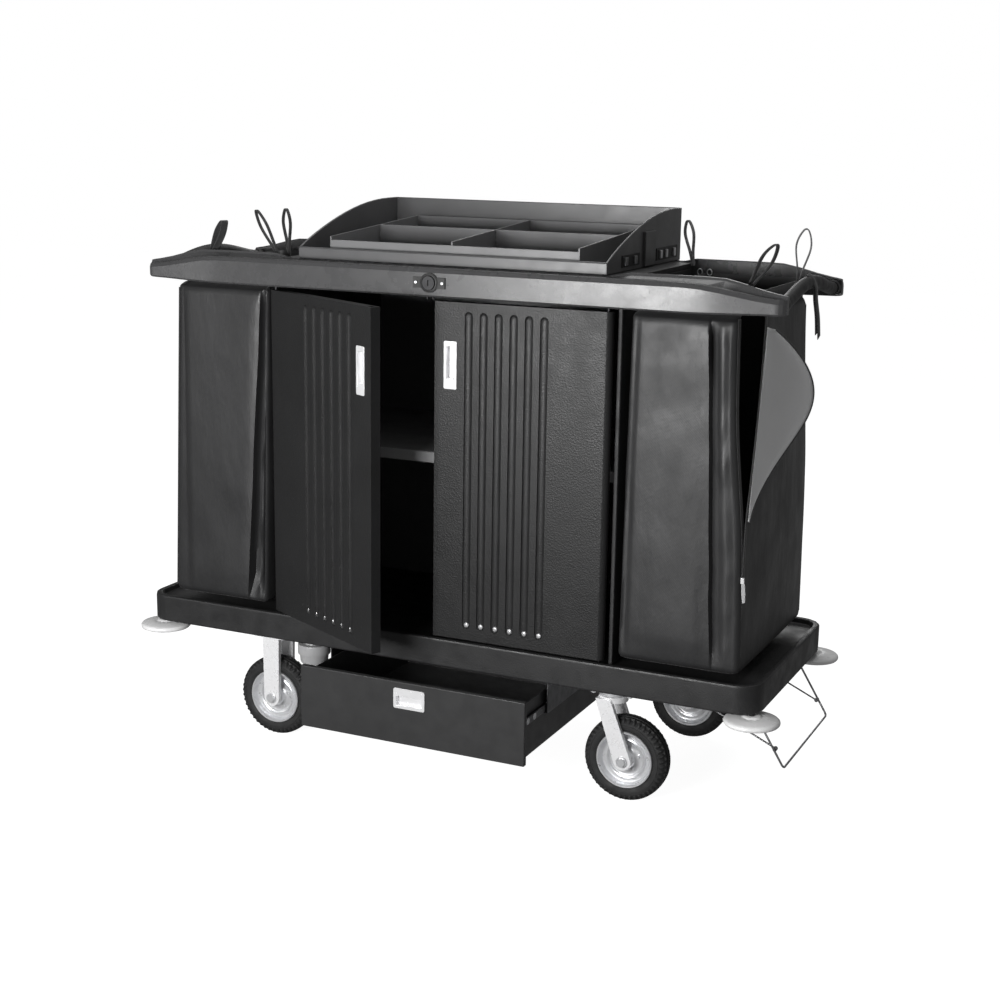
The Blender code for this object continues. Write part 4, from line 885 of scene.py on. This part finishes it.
def bag_ring(name, z, t, inset, front, seed):
    """One level of a bag's skin, as points round it from the inner front corner, and where its zip opens."""
    side, slit = (1, True) if name == "right" else (-1, False)
    foot, top, r_out, swell = BAGS[name]
    r_in = INNER_RADIUS
    in_neck = z > TOP_Z
    half = HALF_Y - inset
    back = min(half, max(half - BACK_TAPER, NECK_HALF_Y)) if in_neck else half - back_inwards(t)
    narrower = inset * (0.15 if in_neck else 1.0)
    inner, outer = [mix(foot[i], top[i], min(t, 1.0)) + narrower * (1, -1)[i] for i in (0, 1)]
    calm = 0.25 + 0.75 * sin(pi * min(max(t, 0.0), 1.0)) ** 0.7
    quiet = 0.15 if in_neck else calm
    shape = 0.0 if in_neck else 0.30 + 0.70 * smooth_step((1 - t) / 0.05)
    points = []

    def put(x, y, nx, ny, offset, size):
        d = offset * shape + wrinkle(side * x, y, z, seed, size * quiet)
        points.append(Vector((side * (x + nx * d), y + ny * d + MID_Y, z)))

    def corner(cx, cy, start, steps, r):
        for k in range(1, steps):
            a = start + pi / 2 * k / steps
            put(cx + r * cos(a), cy + r * sin(a), cos(a), sin(a), -0.0005, 0.0012)

    fallen = loose(z) if slit else 0.0
    for x, d in front_columns(front(min(t, 1.0), inner + r_in, outer - r_out - fallen)):
        put(x, -half, 0, -1, d * min(1.0, 12 * max(t, 0.0)), 0.0042)
    corner(outer - r_out - fallen, -half + r_out, -pi / 2, 5, r_out)
    first = max(slit_y(z), -half + r_out) if slit and z > SLIT_FOOT_Z else -half + r_out
    if slit:
        put(outer - fallen, -half + r_out + zip_sway(z), 1, 0, 0.0, 0.0)
    gap = len(points)
    swell *= sin(pi * min(max(t, 0), 1) ** 0.8) ** 0.9
    for k in range(35):
        s = k / 34
        y = mix(first, back - r_out, s)
        bulge = swell * sin(pi * (y + half) / (back + half)) ** 1.1
        put(outer, y, 1, 0, bulge, 0.0026 * sin(pi * min(s * 3, 1) / 2))
    corner(outer - r_out, back - r_out, 0, 5, r_out)
    for k in range(15):
        s = k / 14
        put(mix(outer - r_out, inner + r_in, s), back, 0, 1, 0.006 * sin(pi * s) * calm, 0.0034)
    corner(inner + r_in, back - r_in, pi / 2, 4, r_in)
    for k in range(25):
        s = k / 24
        put(inner, mix(back - r_in, -half + r_in, s), -1, 0, 0.003 * sin(pi * s) * calm, 0.0026)
    corner(inner + r_in, -half + r_in, pi, 4, r_in)
    return points, gap if slit else None


def bag(name, front, seed):
    """A hung bag: a sagging, pleated skin, a neck turned in between the rails and a flat floor."""
    height, hem = TOP_Z - FLOOR_Z, 0.016
    levels = [(0.0, 0.0090), (0.0035, 0.0036), (0.0090, 0.0008), (hem, 0.0)]
    levels += [(hem + (height - hem) * k / 52, 0.0) for k in range(1, 53)]
    levels += [(height + up, inwards) for up, inwards in NECK]
    bm = bmesh.new()
    rings = []
    for up, inset in levels:
        points, gap = bag_ring(name, FLOOR_Z + up, up / height, inset, front, seed)
        rings.append([bm.verts.new(p) for p in points])
    count = len(rings[0])
    for near, far in zip(rings, rings[1:]):
        for k in range(count):
            if k + 1 == gap and near[0].co.z > SLIT_FOOT_Z:
                continue
            corners = (near[k], near[(k + 1) % count], far[(k + 1) % count], far[k])
            bm.faces.new(corners if name == "right" else corners[::-1])
    bm.faces.new(rings[0][::-1] if name == "right" else rings[0])
    bmesh.ops.remove_doubles(bm, verts=bm.verts, dist=2e-5)
    bmesh.ops.triangulate(bm, faces=[f for f in bm.faces if len(f.verts) > 4])
    mesh = bpy.data.meshes.new(f"bag_{name}_skin")
    bm.to_mesh(mesh)
    bm.free()
    made = piece(mesh, f"bag_{name}_skin", "bag_polyester", ROOT, ("bag_" + name,), angle=60)
    wall(made, -1.0)
    return made


bag_right = bag("right", right_front, 3.0)
bag_left = bag("left", left_front, 8.0)


RIGHT_FOOT, RIGHT_TOP, RIGHT_RADIUS, RIGHT_SWELL = BAGS["right"]


def height_share(z):
    """How far up a bag a height is, from 0 at its foot to 1 at its top."""
    return min((z - FLOOR_Z) / (TOP_Z - FLOOR_Z), 1.0)


def end_x(z):
    """The right bag's end panel at a height, along its corner."""
    return mix(RIGHT_FOOT[1], RIGHT_TOP[1], height_share(z))


def zip_edge(z):
    """The back edge of the open zip, just outside the end panel."""
    y = slit_y(z)
    swell = RIGHT_SWELL * sin(pi * height_share(z) ** 0.8) ** 0.9
    swell *= max(sin(pi * (y + HALF_Y) / (2 * HALF_Y)), 0.0) ** 1.1
    return at(end_x(z) + swell + 0.0012, y, z)


def zip_front(z):
    """The front edge of the open zip, on the loose corner."""
    return at(end_x(z) - loose(z) + 0.0005, -HALF_Y + RIGHT_RADIUS + 0.0005 + zip_sway(z), z)


TEETH = 150
HALF_TOOTH = Vector((0.0009, 0.0014, 0.0011))
tapes, teeth = [], []
for edge, to_opening in ((zip_front, 1), (zip_edge, -1)):
    path = [edge(mix(SLIT_FOOT_Z + 0.004, ZIP_TOP_Z, k / 44)) for k in range(45)]
    tapes.append(strap(path, (0.10, 1, 0), 0.013, 0.0014))
    for k in range(TEETH):
        place = edge(mix(SLIT_FOOT_Z + 0.006, ZIP_TOP_Z - 0.006, k / (TEETH - 1)))
        place += Vector((0.0008, to_opening * 0.0058, 0))
        teeth.append(block(place - HALF_TOOTH, place + HALF_TOOTH))
webbing(merged(*tapes), "zip_tapes")
piece(merged(*teeth), "zip_teeth", "lock_black", ROOT, angle=20)

PULL_Z = SLIT_FOOT_Z - 0.004
pull = at(end_x(PULL_Z) + 0.0035, -0.2560, PULL_Z)
hanging = [pull + Vector((0.0010 + 0.0004 * k, -0.00012 * k, -0.0046 * k)) for k in range(11)]
tab = strap(hanging, (0.75, 0.66, 0), 0.0085, 0.0016, lambda u: 0.75 + 0.25 * sin(pi * u))
slider = block(pull + Vector((-0.0035, -0.0030, -0.004)), pull + Vector((0.0035, 0.0040, 0.009)))
soft_edges(piece(merged(tab, slider), "zip_pull", "chrome", ROOT, angle=30), 0.0004)


# ---------------------------------------------------------------- the peeled corner of the right bag

FLAP_ROWS, FLAP_COLUMNS = 54, 22
FLAP_REACH = 0.236  # from the fold to the free edge, where it is widest
CORD = 0.0021  # the radius of the piping


def flap_point(share, v):
    """A point of the flap, share of the way up its fold and v of the way from the fold to its free edge."""
    u = 0.012 + 0.976 * share
    y0, z0 = FOLD_FOOT
    dy, dz = FOLD_HEAD[0] - y0, FOLD_HEAD[1] - z0
    length = hypot(dy, dz)
    along, across = (dy / length, dz / length), (dz / length, -dy / length)
    reach = FLAP_REACH * max(sin(pi * u**1.94), 0.0) ** 0.8 + 0.003
    lift = (0.042 + 0.012 * u) * reach / FLAP_REACH * v**1.6 + 0.0042
    lift += 0.0022 * sin(5.0 * u + 2.0) * v + 0.0035 * smooth_step((v - 0.82) / 0.18) * reach / FLAP_REACH
    y = y0 + along[0] * length * u + across[0] * reach * v
    z = z0 + along[1] * length * u + across[1] * reach * v
    return at(end_x(z) + 0.002 + lift, y, z)


def flap():
    """The flap's sheet, its pale lining outwards, with piping along its free edge."""
    bm = bmesh.new()
    grid = [
        [bm.verts.new(flap_point(i / FLAP_ROWS, j / FLAP_COLUMNS)) for j in range(FLAP_COLUMNS + 1)]
        for i in range(FLAP_ROWS + 1)
    ]
    for i in range(FLAP_ROWS):
        for j in range(FLAP_COLUMNS):
            bm.faces.new((grid[i][j], grid[i][j + 1], grid[i + 1][j + 1], grid[i + 1][j]))
    mesh = bpy.data.meshes.new("flap")
    bm.to_mesh(mesh)
    bm.free()
    sheet = piece(mesh, "bag_flap_sheet", "bag_polyester", ROOT, ("bag_flap_right",), look=LINING, angle=70)
    wall(sheet, 0.0)
    edge = [flap_point(k / 80, 1.0) for k in range(81)]
    return sheet, webbing(tube(edge, CORD + 0.0003), "flap_piping")


def corner_cord(name, y_side):
    """Piping down a bag's outer corner, at its front (-1) or its back (1)."""
    foot, top, radius, _ = BAGS[name]
    side = 1 if name == "right" else -1
    inwards = radius * (1 - 0.7071) - 0.0006
    path = []
    for k in range(41):
        t = mix(0.021, 0.997, k / 40)
        depth = HALF_Y - (back_inwards(t) if y_side > 0 else 0.0)
        x = side * (mix(foot[1], top[1], t) - inwards)
        path.append(at(x, y_side * (depth - inwards), mix(FLOOR_Z, TOP_Z, t)))
    return tube(path, CORD, 8)


bag_flap, piping = flap()
webbing(corner_cord("right", 1), "bag_right_piping")
webbing(merged(corner_cord("left", -1), corner_cord("left", 1)), "bag_left_piping")


# ---------------------------------------------------------------- stage, light and camera

# Name, place, the point it looks at, width and height, watts
LIGHTS = (
    ("key", (-0.32, -3.0, 1.10), (0.2, 0, 1.0), (1.30, 0.70), 90),
    ("left", (-3.1, -2.6, 1.0), (-0.5, 0, 0.9), (1.0, 0.8), 9),
    ("right", (3.2, -2.6, 1.4), (0.6, 0, 0.8), (1.0, 1.0), 2),
    ("top", (0.2, 0.9, 3.4), (0, 0.1, 0.9), (2.4, 1.4), 30),
    ("back", (-1.2, 4.0, 1.8), (0, 0, 0.7), (2.2, 1.6), 30),
)
WHITE = (1.0, 1.0, 1.0, 1.0)
AMBIENT = 0.17  # what the white surroundings give as light; the camera sees them at full white


def white_floor():
    """A glowing white floor that gives the cart neither light nor a reflection."""
    bpy.ops.mesh.primitive_plane_add(size=24, location=(0, 0, 0))
    floor = bpy.context.object
    floor.name = "floor"
    g = Graph("floor_look")
    g.base(g.colours(g.noise(0.8, 3.0), (0.3, (0.29, 0.29, 0.29)), (0.7, (0.31, 0.31, 0.31))))
    g.set(Roughness=0.9, Specular_IOR_Level=0.0, Emission_Color=WHITE, Emission_Strength=0.95)
    floor.data.materials.append(g.material)
    floor.visible_glossy = floor.visible_diffuse = False


def white_world():
    """White to the camera, and a little even light to everything else."""
    world = bpy.data.worlds.new("studio")
    bpy.context.scene.world = world
    world.use_nodes = True
    tree = world.node_tree
    seen = tree.nodes["Background"]
    lit = tree.nodes.new("ShaderNodeBackground")
    for background, strength in ((seen, 1.0), (lit, AMBIENT)):
        background.inputs["Color"].default_value = WHITE
        background.inputs["Strength"].default_value = strength
    rays = tree.nodes.new("ShaderNodeLightPath")
    both = tree.nodes.new("ShaderNodeMixShader")
    tree.links.new(rays.outputs["Is Camera Ray"], both.inputs["Fac"])
    tree.links.new(lit.outputs["Background"], both.inputs[1])
    tree.links.new(seen.outputs["Background"], both.inputs[2])
    tree.links.new(both.outputs["Shader"], tree.nodes["World Output"].inputs["Surface"])


def lights():
    """Area lights, each facing its target."""
    for name, place, target, size, watts in LIGHTS:
        light = bpy.data.lights.new(name, "AREA")
        light.shape = "RECTANGLE"
        light.size, light.size_y = size
        light.energy = watts
        lamp = bpy.data.objects.new(name, light)
        bpy.context.scene.collection.objects.link(lamp)
        lamp.matrix_world = facing(Vector(place) - Vector(target), place)


def camera(yaw, pitch, roll, eye, focal_length):
    """The photo's view, fitted to the cart's straight edges. In degrees, and mm on a 36 mm sensor."""
    yaw, pitch, roll = radians(yaw), radians(pitch), radians(roll)
    ahead = Vector((-sin(yaw) * cos(pitch), cos(yaw) * cos(pitch), -sin(pitch)))
    right = Vector((cos(yaw), sin(yaw), 0))
    up = right.cross(ahead)
    across = cos(roll) * right + sin(roll) * up
    top = -sin(roll) * right + cos(roll) * up
    lens = bpy.data.cameras.new("camera")
    lens.sensor_width = 36.0
    lens.lens = focal_length
    made = bpy.data.objects.new("camera", lens)
    bpy.context.scene.collection.objects.link(made)
    made.matrix_world = Matrix.Translation(eye) @ Matrix((across, top, -ahead)).transposed().to_4x4()
    bpy.context.scene.camera = made


bpy.context.scene.view_settings.view_transform = "Standard"
white_floor()
white_world()
lights()
camera(24.8, 12.921, 0.866, at(1.7145, -3.6184, 1.5231), 60.2)
bpy.context.view_layer.update()
